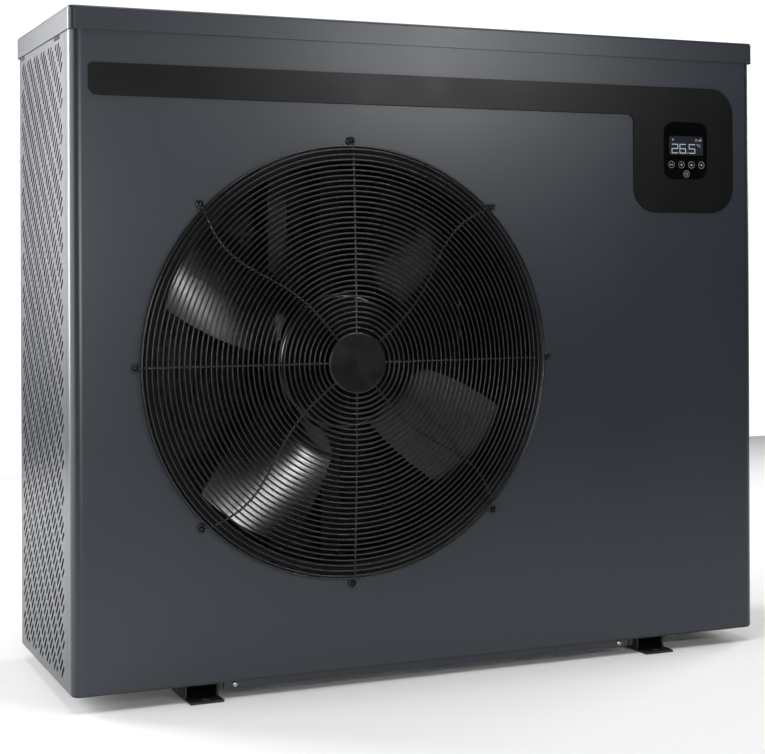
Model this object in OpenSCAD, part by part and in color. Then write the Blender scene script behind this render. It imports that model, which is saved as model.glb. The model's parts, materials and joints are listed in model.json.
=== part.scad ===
// Pool heat pump unit: an air-source water heater in a sheet-steel casing on two feet.
// Millimetres. +X runs to the right seen from the front, +Y to the rear, +Z up.
// The origin is at floor level, in the middle of the four anchor holes of the feet.

/* [Casing] */
// Width across the side panels
case_w = 1080; // [1060:1:1400]
// Depth from the front panel to the rear panels
case_d = 361; // [350:1:460]
// Height from the bottom edge of the panels to the top of the lid
case_h = 915; // [900:1:1200]
// Height of the bottom edge of the panels above the floor
foot_h = 25; // [22:1:60]
// Thickness of the casing sheet
sheet = 1.2; // [0.8:0.01:1.6]
// Outer radius of the upright corners of the casing
corner_r = 14.5; // [8:0.5:20]
// How far the front panel wraps round onto each side
front_wrap = 30; // [22:1:40]
// How far each rear corner post shows on the side
post_wrap = 16; // [15:0.5:22]
// Width of each rear corner post on the rear
post_w = 40; // [30:1:60]
// Gap of the shadow line between two panels
seam = 0.8; // [0.4:0.1:1.5]

/* [Lid] */
// Height of the skirt of the lid
lid_skirt = 31.5; // [24:0.5:45]
// How far the lid stands out beyond the panels
lid_overhang = 2; // [1.8:0.1:4]
// Upright corner radius of the lid
lid_corner_r = 9; // [8:0.5:16]
// Rounding of the top edge of the lid
lid_edge_r = 3.5; // [2:0.5:6]

/* [Left grille] */
// Length of a grille slot
slot_l = 26; // [20:0.5:28]
// Width of a grille slot
slot_w = 5.6; // [4:0.1:6.5]
// Step of the slot lattice along the depth and up the height
slot_step = 8.133; // [8:0.001:10]
// Plain border in front of and behind the slotted field
slot_border_y = 17; // [14:1:30]
// Plain border below the slotted field
slot_border_z = 11; // [8:1:30]

/* [Feet] */
// Distance between the centre lines of the feet
foot_spacing = 717; // [500:1:800]
// Width of a foot
foot_w = 48; // [40:1:60]
// Radius of an anchor hole
anchor_r = 6; // [4:0.5:7]
// Distance from front to rear anchor holes beyond the casing depth
anchor_extra = 3; // [0:1:10]
// How far the tabs reach beyond the casing
tab_reach = 12; // [10:1:20]

/* [Fan] */
// Distance of the fan axis from the left side of the casing
fan_from_left = 398.5; // [380:0.5:440]
// Height of the fan axis above the bottom edge of the panels
fan_up = 432; // [400:1:520]
// Radius of the fan opening and of the throat of the shroud
throat_r = 285; // [237:0.5:290]
// Clearance between the blade tips and the throat
tip_gap = 13; // [6:0.5:20]
// Radius of the fan hub
hub_r = 100; // [70:1:110]
// Depth of the shroud behind the front panel
shroud_d = 63; // [50:1:70]
// Number of blades
blade_count = 4; // [3:1:5]
// Radius of the motor shaft
shaft_r = 6; // [5:0.1:8]

/* [Fan guard] */
// Number of guard rings
ring_count = 36; // [20:1:40]
// Radius of the guard wire
wire_r = 1.35; // [1:0.05:1.6]
// Height of the outer guard ring in front of the panel
guard_edge = 12; // [10:0.5:20]
// Height of the middle of the guard in front of the panel
guard_crown = 23; // [20:0.5:35]
// Radius of the centre disc
disc_r = 42.5; // [42.5:0.5:44]

/* [Fascia and controller] */
// Distance of the left end of the fascia from the left side of the casing
fascia_left = 23.8; // [20:0.1:40]
// Distance of the right end of the fascia from the right side of the casing
fascia_right = 37.7; // [30:0.1:60]
// Height of the long band of the fascia
band_h = 44; // [36:0.5:60]
// Width of the control block of the fascia
block_w = 179.5; // [150:0.5:220]
// Height of the control block of the fascia
block_h = 193; // [160:1:230]
// Width of the controller
ctrl_w = 76; // [72:0.5:96]
// Height of the controller
ctrl_h = 87.4; // [82:0.1:110]
// Radius of a key
key_r = 5.5; // [4:0.1:6]
// Distance between neighbouring keys
key_pitch = 18.1; // [17:0.1:20]
// Travel of a key
key_travel = 0.5; // [0.3:0.1:0.6]

/* [Water unions] */
// Radius of the socket that takes the water pipe
socket_r = 25.1; // [20:0.1:26]
// Depth of the socket
socket_d = 31; // [25:1:40]
// Height of the inlet union above the bottom edge of the panels
inlet_up = 125; // [110:1:180]
// Distance between the inlet and the outlet unions
union_spacing = 330; // [250:1:340]

/* [Cable glands and drain] */
// Radius of the cable hole in the supply gland
supply_cable_r = 6.5; // [5:0.5:8]
// Radius of the cable hole in the signal gland
signal_cable_r = 4; // [3:0.5:5]
// Outer radius of the condensate spout
drain_r = 9; // [7:0.5:11]

/* [Hidden] */
$fn = 48;

// Clearance between pieces of one body, and between moving pieces
fit = 0.3;
running = 0.05;
// Casing planes
half_w = case_w / 2;
front_y = -case_d / 2;
rear_y = case_d / 2;
body_z = foot_h;
top_z = foot_h + case_h;
lid_gap = 3;
panel_top = top_z - sheet - lid_gap;
seam_z = top_z - lid_skirt;
side_front_y = front_y + front_wrap + seam;
side_rear_y = rear_y - post_wrap - seam;
flange = 12;
flange_lift = 2;
post_bottom_r = 10;

// Base pan and its front strip
pan_sheet = 1.5;
pan_drop = 2.5;
pan_wall = 22;
pan_z = body_z - pan_drop;
pan_floor = pan_z + pan_sheet;
pan_inset = sheet + fit;
pan_tab_w = 6.5;
strip_left = -foot_spacing / 2 + 28.5;
strip_right = foot_spacing / 2 - 45.5;
strip_back = 5;
strip_h = 10;
strip_gap = 1.5;
strip_screw_up = 1;
strip_screw_inset = 16;
strip_screw_r = 3.9;
strip_screw_h = 3;

// Feet
foot_sheet = 3;
anchor_y = case_d / 2 + anchor_extra / 2;
foot_wall_inset = 15;
foot_lip = 12;

// Screws
screw_r = 4;
screw_head = 2.2;
screw_shank_r = 1.8;
screw_hole_r = 2.1;
screw_shank = 6;

// Fan opening, shroud and hub
fan_x = -half_w + fan_from_left;
fan_z = body_z + fan_up;
panel_back_y = front_y + sheet;
shroud_wall = 2;
shroud_lip = 14;
shroud_y0 = panel_back_y + fit;
tip_r = throat_r - tip_gap;
hub_front_y = front_y + 30;
hub_depth = 60;
hub_wall = 3;
hub_face = 5;
hub_edge_r = 8;
boss_r = 18;
boss_depth = 26;
nut_r = 11;
nut_h = 8;

// Blades: angles seen from the front, turning anticlockwise from +X
blade_t = 2.6;
blade_root_in = 2;
blade_back_root = 122;
blade_back_tip = 133;
blade_front_root = 176;
blade_front_tip = 163;
blade_near_y = hub_front_y + 4;
blade_far_y = hub_front_y + 54;
blade_camber = 7;
blade_steps_r = 12;
blade_steps_a = 10;
blade_near_cut = 16;
blade_cut_share = 0.25;
blade_flatten = 0.35;
blade_tip_forward = 9.6;
blade_edge_share = 0.35;

// Guard
eyelet_circle = throat_r + 27.5;
frame_ring_r = throat_r + 19.5;
frame_wire_r = 2;
frame_ring_drop = 5;
outer_ring_r = throat_r + 15;
inner_ring_r = disc_r - 0.5;
ring_pitch = (outer_ring_r - inner_ring_r) / (ring_count - 1);
spoke_wire_r = 1.6;
spoke_weld = 0.4;
spoke_swing = 5;
swing_span = 160;
spoke_steps = 8;
wire_sides = 8;
spoke_inner_r = 36;
eyelet_r = 5.4;
disc_t = 1.6;
disc_seat = 0.3;
guard_screw_h = 4.2;

// Motor, from front to rear
motor_r = 62;
motor_wall = 3;
motor_y0 = hub_front_y + 72;
motor_len = 88;
motor_y1 = motor_y0 + motor_len;
bearing_r = 16;
bearing_w = 9;
rotor_r = 34;
air_gap = 1;
core_room = 2;
stator_r = motor_r - motor_wall - fit;
shaft_front_y = hub_front_y - nut_h - 2;
core_margin = 16;
bracket_plate = 3;
bracket_half = 66;
rail_w = 30;
rail_d = 22;
rail_wall = 2;
rail_x = 42;
brace_h = 18;
brace_z = panel_top - brace_h - 2;
brace_y0 = motor_y1 + 2;
brace_y1 = brace_y0 + rail_d + 8;

// Bulkhead, coil and top brace
compartment_w = 350;
bulkhead_x = half_w - compartment_w;
bulkhead_top = panel_top - 4;
wire_hole_y = -28;
wire_hole_r = 14;
pipe_window_y = 60;
pipe_window_margin = 10;
pipe_window_z = [60, 220];
coil_t = 44;
coil_rear_y = rear_y - sheet - 12;
coil_left_x = -half_w + sheet + 7;
coil_bend_r = 60;
coil_front_y = side_front_y + 14;
coil_right_x = bulkhead_x - 26;
coil_z0 = pan_floor + 6;
coil_z1 = top_z - 50;
brace_x0 = coil_left_x + coil_t + 6;
end_plate = 2;
end_plate_over = 3;
bend_tube_r = 4.8;
bend_r = 12.7;
bend_step = 50.8;
bend_margin = 30;

// Lattice borders, and the shortest piece of a slot as a share of its width
slot_border_rear = 11;
slot_border_top = 10;
slot_least = 0.33;

// Lid clips on the left side, as ranges along the depth from the front
clip_ranges = [[64, 100], [311, 339]];
clip_h = 6;
clip_under = 2;
clip_d = 4.2;
clip_proud = 0.3;

// Screw places on the right side, on the rear and on the lid
side_screw_y = [side_front_y + 24, side_rear_y - 24];
panel_screw_z = [body_z + 40, (body_z + seam_z) / 2, seam_z - 30];
rear_screw_x = [-half_w + post_w + 18, bulkhead_x - 18, bulkhead_x + 20, half_w - post_w - 18];
lid_screw_x = [-half_w + 90, 0, half_w - 90];
lid_screw_z = top_z - 20;
thread_past = 0.4;

// The opening behind the coil with its plain border, and the guard across it
rear_border_x = 34;
rear_border_low = 46;
rear_border_top = 36;
rear_open_x0 = -half_w + post_w + rear_border_x;
rear_open_x1 = bulkhead_x - rear_border_x;
rear_open_z0 = body_z + rear_border_low;
rear_open_z1 = seam_z - rear_border_top;
rear_open_r = 18;
rear_wire_r = 1.5;
rear_bar_r = 2;
rear_guard_over = 9;
rear_wires = 34;
rear_bars = 7;
rear_wire_inset = 4;
rear_bar_inset = 6;

// Louvres of the service panel
louvre_w = 70;
louvre_h = 5;
louvre_r = 2.3;
louvre_step = 14;
louvre_rows = 8;
louvre_down = 60;
louvre_x = [half_w - post_w - 205, half_w - post_w - 105];

// Fascia, in millimetres from the casing edges
fascia_down = 74.4;
ctrl_from_right = 87.9;
ctrl_from_top = 96.9;
fascia_t = 2.5;
fascia_x0 = -half_w + fascia_left;
fascia_x1 = half_w - fascia_right;
fascia_z1 = top_z - fascia_down;
fascia_end_top_r = 8;
fascia_end_low_r = 12;
fascia_r = 40;
fascia_inner_r = 11;
block_x0 = fascia_x1 - block_w;

// Controller: housing flange in front, tub through the panel
ctrl_x = fascia_x1 - ctrl_from_right;
ctrl_z = fascia_z1 - ctrl_from_top;
ctrl_r = 16;
ctrl_flange = 2.6;
gasket_t = 0.6;
gasket_w = 1.6;
tub_inset = 2.4;
tub_w = ctrl_w - 2 * tub_inset;
tub_h = ctrl_h - 2 * tub_inset;
tub_r = ctrl_r - tub_inset;
tub_wall = 1.5;
tub_d = 12;
tub_back_y = front_y + tub_d;
fascia_front_y = front_y - fascia_t;
ctrl_back_y = fascia_front_y - gasket_t;
ctrl_front_y = ctrl_back_y - ctrl_flange;
window_w = 61.2;
window_h = 28.9;
window_up = 7.3;
window_t = 1.2;
window_r = 2;
window_ledge = 2;
key_row_down = ctrl_h / 2 - 21.5;
key_low_down = ctrl_h / 2 - 7.4;
key_proud = 0.6;
key_gap = 0.3;
key_cap_in = 0.9;
key_stem_r = 2.2;
key_collar_r = 3.2;
key_collar_t = 1.2;
key_back_y = ctrl_back_y + 4;
key_pocket_y = ctrl_front_y + key_cap_in + key_travel + key_gap;
key_row_z = ctrl_z - key_row_down;
key_low_z = ctrl_z - key_low_down;
key_places = [for (i = [0:3]) [key_row_x(i), key_row_z], [ctrl_x, key_low_z]];
window_z = ctrl_z + window_up;
switch_r = 2.5;
board_t = 1.6;
board_y = tub_back_y - 4;
lcd_margin = 1.5;
lcd_d = 6;

// Electrical box behind the controller
box_x0 = bulkhead_x + 26;
box_x1 = half_w - 26;
box_y0 = tub_back_y + 8;
box_d = 84;
box_z1 = top_z - 60;
box_h = 180;
box_wall = 1.5;
box_cable_in = 40;
box_cable_r = 12;
board_inset = 14;
board_stand = 8;
capacitor_r = 12;
capacitor_h = 36;
relay = [20, 16, 26];
terminal = [20, 20, 8];

// Refrigerant side, placed from the right-hand side of the casing
comp_x = half_w - 255;
comp_y = 60;
comp_r = 72;
comp_z0 = pan_floor + 26;
comp_h = 300;
dome_r = 110;
comp_port_y = 40;
comp_port_h = 12;
comp_port_d = 40;
port_wall = 2;
mount_circle = 84;
mount_r = 14;
mount_plate = 4;
mount_bolt_r = 5;
mount_turn = 30;
acc_x = half_w - 210;
acc_y = -62;
acc_r = 34;
acc_z0 = pan_floor + 40;
acc_h = 210;
acc_dome_h = 8;
acc_dome_inset = 8;
acc_stem_r = 11;
acc_link_up = 26;
acc_inlet_x = 12;
valve_x = half_w - 250;
valve_y = 60;
valve_z = body_z + 470;
valve_r = 13;
valve_l = 110;
valve_port_r = 6.4;
valve_port_step = 28;
valve_port_l = 30;
solenoid_r = 17;
solenoid_l = 32;
solenoid_gap = 4;
txv_x = half_w - 300;
txv_y = -70;
txv_z = body_z + 270;
txv_r = 12;
txv_l = 60;
txv_coil_r = 21;
txv_coil_l = 26;
pipe_r = 6;
pipe_end_gap = 0.3;
elbow_extra = 0.6;
loop_up = 40;
suction_down = 26;
gas_down = 12;
water_side_down = 40;
window_gas_z = pipe_window_z[1] - 30;
window_liquid_z = pipe_window_z[0] + 40;
wall_gap = 1.5;
hx_port_low = 60;
hx_port_high = 90;
hx_port_side = 40;
hx_pipe_gap = 18;
front_run = 36;
txv_port_up = 16;

// Heat exchanger vessel and water unions
hx_x = half_w - 88;
hx_y = 60;
hx_r = 75;
hx_z0 = pan_floor;
hx_foot = 26;
hx_h = 540;
hx_cap_r = 80;
hx_cap_h = 18;
spigot_r = 30;
spigot_bore = 22;
spigot_x = half_w - sheet - 6;
inlet_z = body_z + inlet_up;
outlet_z = inlet_z + union_spacing;
thread_r = socket_r + 9.9;
stub_x1 = half_w + 20;
panel_hole_gap = 3;
seal_t = 2.5;
tail_x0 = stub_x1 + seal_t;
collar_t = 8;
tail_wall = 4.4;
tail_x1 = tail_x0 + 20 + socket_d;
nut_clear = 0.4;
nut_wall = 8;
nut_x0 = half_w + 6;
nut_lip = 5;
nut_x1 = tail_x0 + collar_t + nut_clear + nut_lip;
nut_ribs = 12;
nut_rib_r = 4;
hx_wall = 20;
flow_z = body_z + 215;
flow_stem_r = 13;
flow_stem_l = 14;
flow_head_r = 17;
flow_head_l = 39;
thread_relief = 4;
seal_inset = 5;
thread_from = half_w + 7;
nut_rib_from = 2;
nut_rib_to = 3;
nut_rib_in = 1;

// Glands and drain
gland_z = body_z + 640;
gland_step = 44;
gland_y = -60;
gland_wall = 4.5;
gland_in = 10;
gland_out = 24;
gland_hex_h = 6;
gland_hex_over = 5;
gland_cap_gap = 2;
gland_cap_over = 2.5;
gland_tip = 4;
gland_nut_over = 4;
gland_nut_h = 4;
drain_x = -150;
drain_y = 40;
drain_wall = 2;
drain_l = 14;
drain_flange_r = 18;
drain_flange_t = 2;

black = "#17181a";
anthracite = "#43484e";
copper = "#b87333";
steel = "#b9bcc0";

// ---- helpers; a cutting tool reaches 1 mm past the faces that it cuts ----

// A box from its lowest to its highest corner
module box(lo, hi) {
    translate(lo) cube(hi - lo);
}

// Rods along the three axes
module x_rod(x0, x1, y, z, r) {
    translate([x0, y, z]) rotate([0, 90, 0]) cylinder(h = x1 - x0, r = r);
}

module y_rod(x, y0, y1, z, r) {
    translate([x, y0, z]) rotate([-90, 0, 0]) cylinder(h = y1 - y0, r = r);
}

module z_rod(x, y, z0, z1, r) {
    translate([x, y, z0]) cylinder(h = z1 - z0, r = r);
}

// A plate in the XZ plane whose rear face is at y
module front_plate(y, t) {
    translate([0, y, 0]) rotate([90, 0, 0]) linear_extrude(t) children();
}

// A plate in the YZ plane whose left face is at x
module side_plate(x, t) {
    translate([x, 0, 0]) rotate([90, 0, 90]) linear_extrude(t) children();
}

// What a convex corner loses when it is rounded, corner at the origin, body towards +x +y
module corner_cut(r) {
    difference() {
        translate([-r, -r]) square([2 * r, 2 * r]);
        translate([r, r]) circle(r);
        translate([0, r]) square([r + 1, 1]);
        translate([r, 0]) square([1, r + 1]);
        translate([r, -r]) square([r, 2 * r]);
        translate([-r, r]) square([2 * r, r]);
    }
}

// A rectangle with its own radius in each corner: lower left, lower right, upper right, upper left.
// A corner whose radius is 0 stays sharp
module rounded(x0, y0, x1, y1, radii) {
    difference() {
        translate([x0, y0]) square([x1 - x0, y1 - y0]);
        if (radii[0] > 0)
            translate([x0, y0]) corner_cut(radii[0]);
        if (radii[1] > 0)
            translate([x1, y0]) mirror([1, 0]) corner_cut(radii[1]);
        if (radii[2] > 0)
            translate([x1, y1]) rotate(180) corner_cut(radii[2]);
        if (radii[3] > 0)
            translate([x0, y1]) mirror([0, 1]) corner_cut(radii[3]);
    }
}

module rounded_even(w, h, r) {
    rounded(-w / 2, -h / 2, w / 2, h / 2, [r, r, r, r]);
}

// The casing wall seen from above
module wall_outline() {
    difference() {
        rounded_even(case_w, case_d, corner_r);
        rounded_even(case_w - 2 * sheet, case_d - 2 * sheet, corner_r - sheet);
    }
}

// A screw whose shank runs along local -z from the face at the origin
module screw(head_r = screw_r, head_h = screw_head, shank = screw_shank) {
    cylinder(h = head_h, r = head_r);
    translate([0, 0, -shank]) cylinder(h = shank, r = screw_shank_r);
}

// A bent pipe through a list of points, with a brazed elbow at each corner
module pipe_run(points, r = pipe_r) {
    for (i = [0:len(points) - 2]) {
        v = points[i + 1] - points[i];
        l = norm(v);
        translate(points[i])
            rotate([0, acos(v.z / l), atan2(v.y, v.x)])
                cylinder(h = l, r = r);
    }
    for (i = [1:1:len(points) - 2])
        translate(points[i]) sphere(r + elbow_extra);
}

// ---- base ----

module base_pan() {
    x = half_w - pan_inset;
    y = rear_y - pan_inset;
    tab_y = front_y + strip_back;
    color(black) {
        difference() {
            box([-x, -y, pan_z], [x, y, pan_z + pan_wall]);
            box([-x + pan_sheet, -y + pan_sheet, pan_floor],
                [x - pan_sheet, y - pan_sheet, pan_z + pan_wall + 1]);
            z_rod(drain_x, drain_y, pan_z - 1, pan_floor + 1, drain_r - drain_wall);
            for (sx = [-1, 1])
                for (sy = [-1, 1])
                    translate([sx * x, sy * y, pan_z - 1])
                        rotate(sx > 0 ? (sy > 0 ? 180 : 90) : (sy > 0 ? 270 : 0))
                            linear_extrude(pan_wall + 2) corner_cut(corner_r - pan_inset);
        }
        for (tx = [strip_left - strip_gap - pan_tab_w, strip_right + strip_gap])
            box([tx, tab_y, pan_z - strip_h], [tx + pan_tab_w, tab_y + sheet, pan_z + pan_sheet / 2]);
    }
}

module foot(side) {
    x = side * foot_spacing / 2;
    tab_y = rear_y + tab_reach;
    wall_y = rear_y - foot_wall_inset;
    color(black)
        difference() {
            union() {
                box([x - foot_w / 2, -tab_y, 0], [x + foot_w / 2, tab_y, foot_sheet]);
                for (s = [-1, 1]) {
                    x_out = x + s * foot_w / 2;
                    x_in = x_out - s * foot_sheet;
                    x_lip = x_out - s * foot_lip;
                    box([min(x_out, x_in), -wall_y, 0], [max(x_out, x_in), wall_y, pan_z]);
                    box([min(x_out, x_lip), -wall_y, pan_z - foot_sheet], [max(x_out, x_lip), wall_y, pan_z]);
                }
            }
            for (s = [-1, 1])
                z_rod(x, s * anchor_y, -1, foot_sheet + 1, anchor_r);
        }
}

module foot_left() {
    foot(-1);
}

module foot_right() {
    foot(1);
}

module skirt_strip() {
    y = front_y + strip_back;
    z = pan_z - strip_h / 2 + strip_screw_up;
    color(anthracite)
        difference() {
            union() {
                box([strip_left, y, pan_z - strip_h], [strip_right, y + sheet, pan_z]);
                box([strip_left, y, pan_z - sheet], [strip_right, y + flange, pan_z]);
            }
            for (x = [strip_left + strip_screw_inset, strip_right - strip_screw_inset])
                y_rod(x, y - 1, y + sheet + 1, z, screw_hole_r);
        }
}

module strip_screws() {
    y = front_y + strip_back;
    z = pan_z - strip_h / 2 + strip_screw_up;
    color(steel)
        for (x = [strip_left + strip_screw_inset, strip_right - strip_screw_inset])
            translate([x, y, z]) rotate([90, 0, 0])
                screw(strip_screw_r, strip_screw_h);
}

// ---- casing ----

module front_panel() {
    color(anthracite)
        difference() {
            translate([0, 0, body_z]) linear_extrude(panel_top - body_z)
                intersection() {
                    wall_outline();
                    translate([-half_w - 1, front_y - 1]) square([case_w + 2, front_wrap + 1]);
                }
            y_rod(fan_x, front_y - 1, front_y + sheet + 1, fan_z, throat_r + fit);
            for (i = [0:7])
                y_rod(fan_x + eyelet_circle * cos(45 * i), front_y - 1, front_y + sheet + 1,
                    fan_z + eyelet_circle * sin(45 * i), screw_hole_r);
            front_plate(front_y + sheet + 1, sheet + 2)
                translate([ctrl_x, ctrl_z]) rounded_even(tub_w + 2 * fit, tub_h + 2 * fit, tub_r + fit);
        }
}

// A flat side panel with a flange turned in at its front and rear edges
module side_sheet(side) {
    x = side > 0 ? half_w - sheet : -half_w;
    xf = side > 0 ? half_w - flange : -half_w;
    flange_z = pan_z + pan_wall + flange_lift;
    side_plate(x, sheet)
        translate([side_front_y, body_z]) square([side_rear_y - side_front_y, panel_top - body_z]);
    for (y = [side_front_y, side_rear_y - sheet])
        box([xf, y, flange_z], [xf + flange, y + sheet, panel_top]);
}

// Where the slot's centre line, running down to the rear at 45 degrees, enters and leaves the field
function slot_from(y, z, y0, z1) = max(-slot_l / 2 + slot_w / 2, (y0 - y) * sqrt(2), (z - z1) * sqrt(2));
function slot_to(y, z, y1, z0) = min(slot_l / 2 - slot_w / 2, (y1 - y) * sqrt(2), (z - z0) * sqrt(2));

// The lattice of slots: rows step up and to the rear, bars of plain sheet run between the rows
module slot_field(y0, z0, y1, z1) {
    along = 3 * slot_step;
    n = ceil(((y1 - y0) + (z1 - z0)) / slot_step);
    for (j = [-n:n])
        for (i = [-n:n]) {
            y = (y0 + y1) / 2 + i * slot_step + j * along;
            z = (z0 + z1) / 2 + i * slot_step - j * along;
            if (y > y0 - slot_l && y < y1 + slot_l && z > z0 - slot_l && z < z1 + slot_l) {
                a = slot_from(y, z, y0, z1);
                b = slot_to(y, z, y1, z0);
                if (b - a > slot_least * slot_w)
                    translate([y, z]) rotate(-45) slot_2d(a, b);
            }
        }
}

module slot_2d(a, b) {
    translate([a, -slot_w / 2]) square([b - a, slot_w]);
    for (x = [a, b])
        translate([x, 0]) circle(slot_w / 2);
}

module left_grille_panel() {
    r = slot_w / 2;
    color(anthracite)
        difference() {
            side_sheet(-1);
            side_plate(-half_w - 1, sheet + 2)
                slot_field(side_front_y + slot_border_y + r, body_z + slot_border_z + r,
                    side_rear_y - slot_border_rear - r, seam_z - slot_border_top - r);
            for (c = clip_ranges)
                box([-half_w - 1, front_y + c[0], seam_z - clip_h],
                    [-half_w + sheet + 1, front_y + c[1], seam_z + clip_under]);
        }
}

module lid_clips() {
    color(black)
        for (c = clip_ranges)
            box([-half_w - clip_proud, front_y + c[0] + fit, seam_z - clip_h + fit],
                [-half_w + clip_d, front_y + c[1] - fit, seam_z + clip_under - fit]);
}

module right_panel() {
    color(anthracite)
        difference() {
            side_sheet(1);
            for (z = [inlet_z, outlet_z])
                x_rod(half_w - sheet - 1, half_w + 1, hx_y, z, thread_r + panel_hole_gap);
            x_rod(half_w - sheet - 1, half_w + 1, gland_y, gland_z, supply_cable_r + gland_wall + fit);
            x_rod(half_w - sheet - 1, half_w + 1, gland_y, gland_z + gland_step,
                signal_cable_r + gland_wall + fit);
            for (y = side_screw_y)
                for (z = panel_screw_z)
                    x_rod(half_w - sheet - 1, half_w + 1, y, z, screw_hole_r);
        }
}

module corner_post(side) {
    color(anthracite)
        difference() {
            translate([0, 0, body_z]) linear_extrude(panel_top - body_z)
                intersection() {
                    wall_outline();
                    translate([side > 0 ? half_w - post_w : -half_w - 1, rear_y - post_wrap])
                        square([post_w + 1, post_wrap + 1]);
                }
            side_plate(side > 0 ? half_w - post_w - 1 : -half_w - 1, post_w + 2)
                translate([rear_y, body_z]) mirror([1, 0]) corner_cut(post_bottom_r);
        }
}

module corner_post_left() {
    corner_post(-1);
}

module corner_post_right() {
    corner_post(1);
}

module rear_frame() {
    x0 = -half_w + post_w + seam;
    x1 = bulkhead_x - seam / 2;
    color(anthracite)
        difference() {
            front_plate(rear_y, sheet)
                difference() {
                    translate([x0, body_z]) square([x1 - x0, panel_top - body_z]);
                    rounded(rear_open_x0, rear_open_z0, rear_open_x1, rear_open_z1,
                        [rear_open_r, rear_open_r, rear_open_r, rear_open_r]);
                }
            for (x = [rear_screw_x[0], rear_screw_x[1]])
                for (z = panel_screw_z)
                    y_rod(x, rear_y - sheet - 1, rear_y + 1, z, screw_hole_r);
        }
}

// A welded grid: upright wires in front, cross bars behind
module rear_guard() {
    y_wire = rear_y - sheet - fit - rear_wire_r;
    y_bar = y_wire - rear_wire_r - rear_bar_r - running;
    x0 = rear_open_x0 - rear_guard_over;
    x1 = rear_open_x1 + rear_guard_over;
    z0 = rear_open_z0 - rear_guard_over;
    z1 = rear_open_z1 + rear_guard_over;
    wire_step = (x1 - x0 - 2 * rear_wire_inset) / (rear_wires - 1);
    bar_step = (z1 - z0 - 2 * rear_bar_inset) / (rear_bars - 1);
    color(black) {
        for (i = [0:rear_wires - 1])
            z_rod(x0 + rear_wire_inset + i * wire_step, y_wire, z0, z1, rear_wire_r);
        for (i = [0:rear_bars - 1])
            x_rod(x0, x1, y_bar, z0 + rear_bar_inset + i * bar_step, rear_bar_r);
    }
}

module rear_service_panel() {
    x0 = bulkhead_x + seam / 2;
    x1 = half_w - post_w - seam;
    color(anthracite)
        difference() {
            front_plate(rear_y, sheet)
                difference() {
                    translate([x0, body_z]) square([x1 - x0, panel_top - body_z]);
                    for (x = louvre_x)
                        for (i = [0:louvre_rows - 1])
                            translate([x + louvre_w / 2, seam_z - louvre_down - i * louvre_step])
                                rounded_even(louvre_w, louvre_h, louvre_r);
                }
            for (x = [rear_screw_x[2], rear_screw_x[3]])
                for (z = panel_screw_z)
                    y_rod(x, rear_y - sheet - 1, rear_y + 1, z, screw_hole_r);
        }
}

// Half the section of the lid: skirt, rounded edge and the margin of the top
module lid_section() {
    square_h = lid_skirt - lid_edge_r;
    translate([lid_corner_r - sheet, 0]) square([sheet, square_h]);
    translate([0, lid_skirt - sheet]) square([lid_corner_r - lid_edge_r, sheet]);
    translate([lid_corner_r - lid_edge_r, square_h])
        intersection() {
            difference() {
                circle(lid_edge_r);
                circle(lid_edge_r - sheet);
            }
            square(lid_edge_r + 1);
        }
}

module top_cover() {
    w = case_w + 2 * lid_overhang;
    d = case_d + 2 * lid_overhang;
    cx = w / 2 - lid_corner_r;
    cy = d / 2 - lid_corner_r;
    color(anthracite)
        translate([0, 0, seam_z])
            difference() {
                union() {
                    for (s = [0:3])
                        translate([(s == 0 || s == 3) ? cx : -cx, s < 2 ? cy : -cy, 0])
                            rotate(90 * s) rotate_extrude(angle = 90) lid_section();
                    for (s = [0, 1])
                        rotate(180 * s) {
                            translate([cx, cy, 0]) rotate([90, 0, 0]) linear_extrude(2 * cy) lid_section();
                            translate([-cx, cy, 0]) rotate([90, 0, 90]) linear_extrude(2 * cx) lid_section();
                        }
                    box([-cx, -cy, lid_skirt - sheet], [cx, cy, lid_skirt]);
                }
                for (x = lid_screw_x)
                    y_rod(x, rear_y, rear_y + lid_overhang + 1, lid_screw_z - seam_z, screw_hole_r);
            }
}

module panel_screws() {
    color(steel) {
        for (y = side_screw_y)
            for (z = panel_screw_z)
                translate([half_w, y, z]) rotate([0, 90, 0]) screw();
        for (x = rear_screw_x)
            for (z = panel_screw_z)
                translate([x, rear_y, z]) rotate([-90, 0, 0]) screw(shank = sheet + thread_past);
        for (x = lid_screw_x)
            translate([x, rear_y + lid_overhang, lid_screw_z]) rotate([-90, 0, 0])
                screw(shank = sheet + thread_past);
    }
}

module bulkhead() {
    y = rear_y - pan_inset - pan_sheet - fit;
    window_d = coil_rear_y - pipe_window_margin - pipe_window_y;
    color(steel)
        side_plate(bulkhead_x, sheet)
            difference() {
                translate([-y, pan_floor + fit]) square([2 * y, bulkhead_top - pan_floor]);
                translate([pipe_window_y, pipe_window_z[0]])
                    square([window_d, pipe_window_z[1] - pipe_window_z[0]]);
                translate([wire_hole_y, box_z1 - box_h]) circle(wire_hole_r);
            }
}

module top_brace() {
    color(steel)
        difference() {
            box([brace_x0, brace_y0, brace_z], [bulkhead_x - fit, brace_y1, brace_z + brace_h]);
            box([brace_x0 - 1, brace_y0 + rail_wall, brace_z + rail_wall],
                [bulkhead_x + 1, brace_y1 - rail_wall, brace_z + brace_h + 1]);
        }
}

// ---- fan ----

module fan_shroud() {
    lip = shroud_lip + shroud_wall;
    color(black)
        translate([fan_x, shroud_y0, fan_z]) rotate([-90, 0, 0])
            rotate_extrude() {
                translate([throat_r, 0]) square([shroud_wall, shroud_d]);
                translate([throat_r, 0]) square([lip, shroud_wall]);
                translate([throat_r, shroud_d - shroud_wall]) square([lip, shroud_wall]);
            }
}

// Height of the guard in front of the panel at radius r
function guard_rise(r) = guard_crown - (guard_crown - guard_edge) * pow(r / frame_ring_r, 2);

module guard_ring(r, w, rise) {
    translate([fan_x, front_y - rise, fan_z]) rotate([90, 0, 0])
        rotate_extrude() translate([r, 0]) circle(w, $fn = wire_sides);
}

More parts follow.
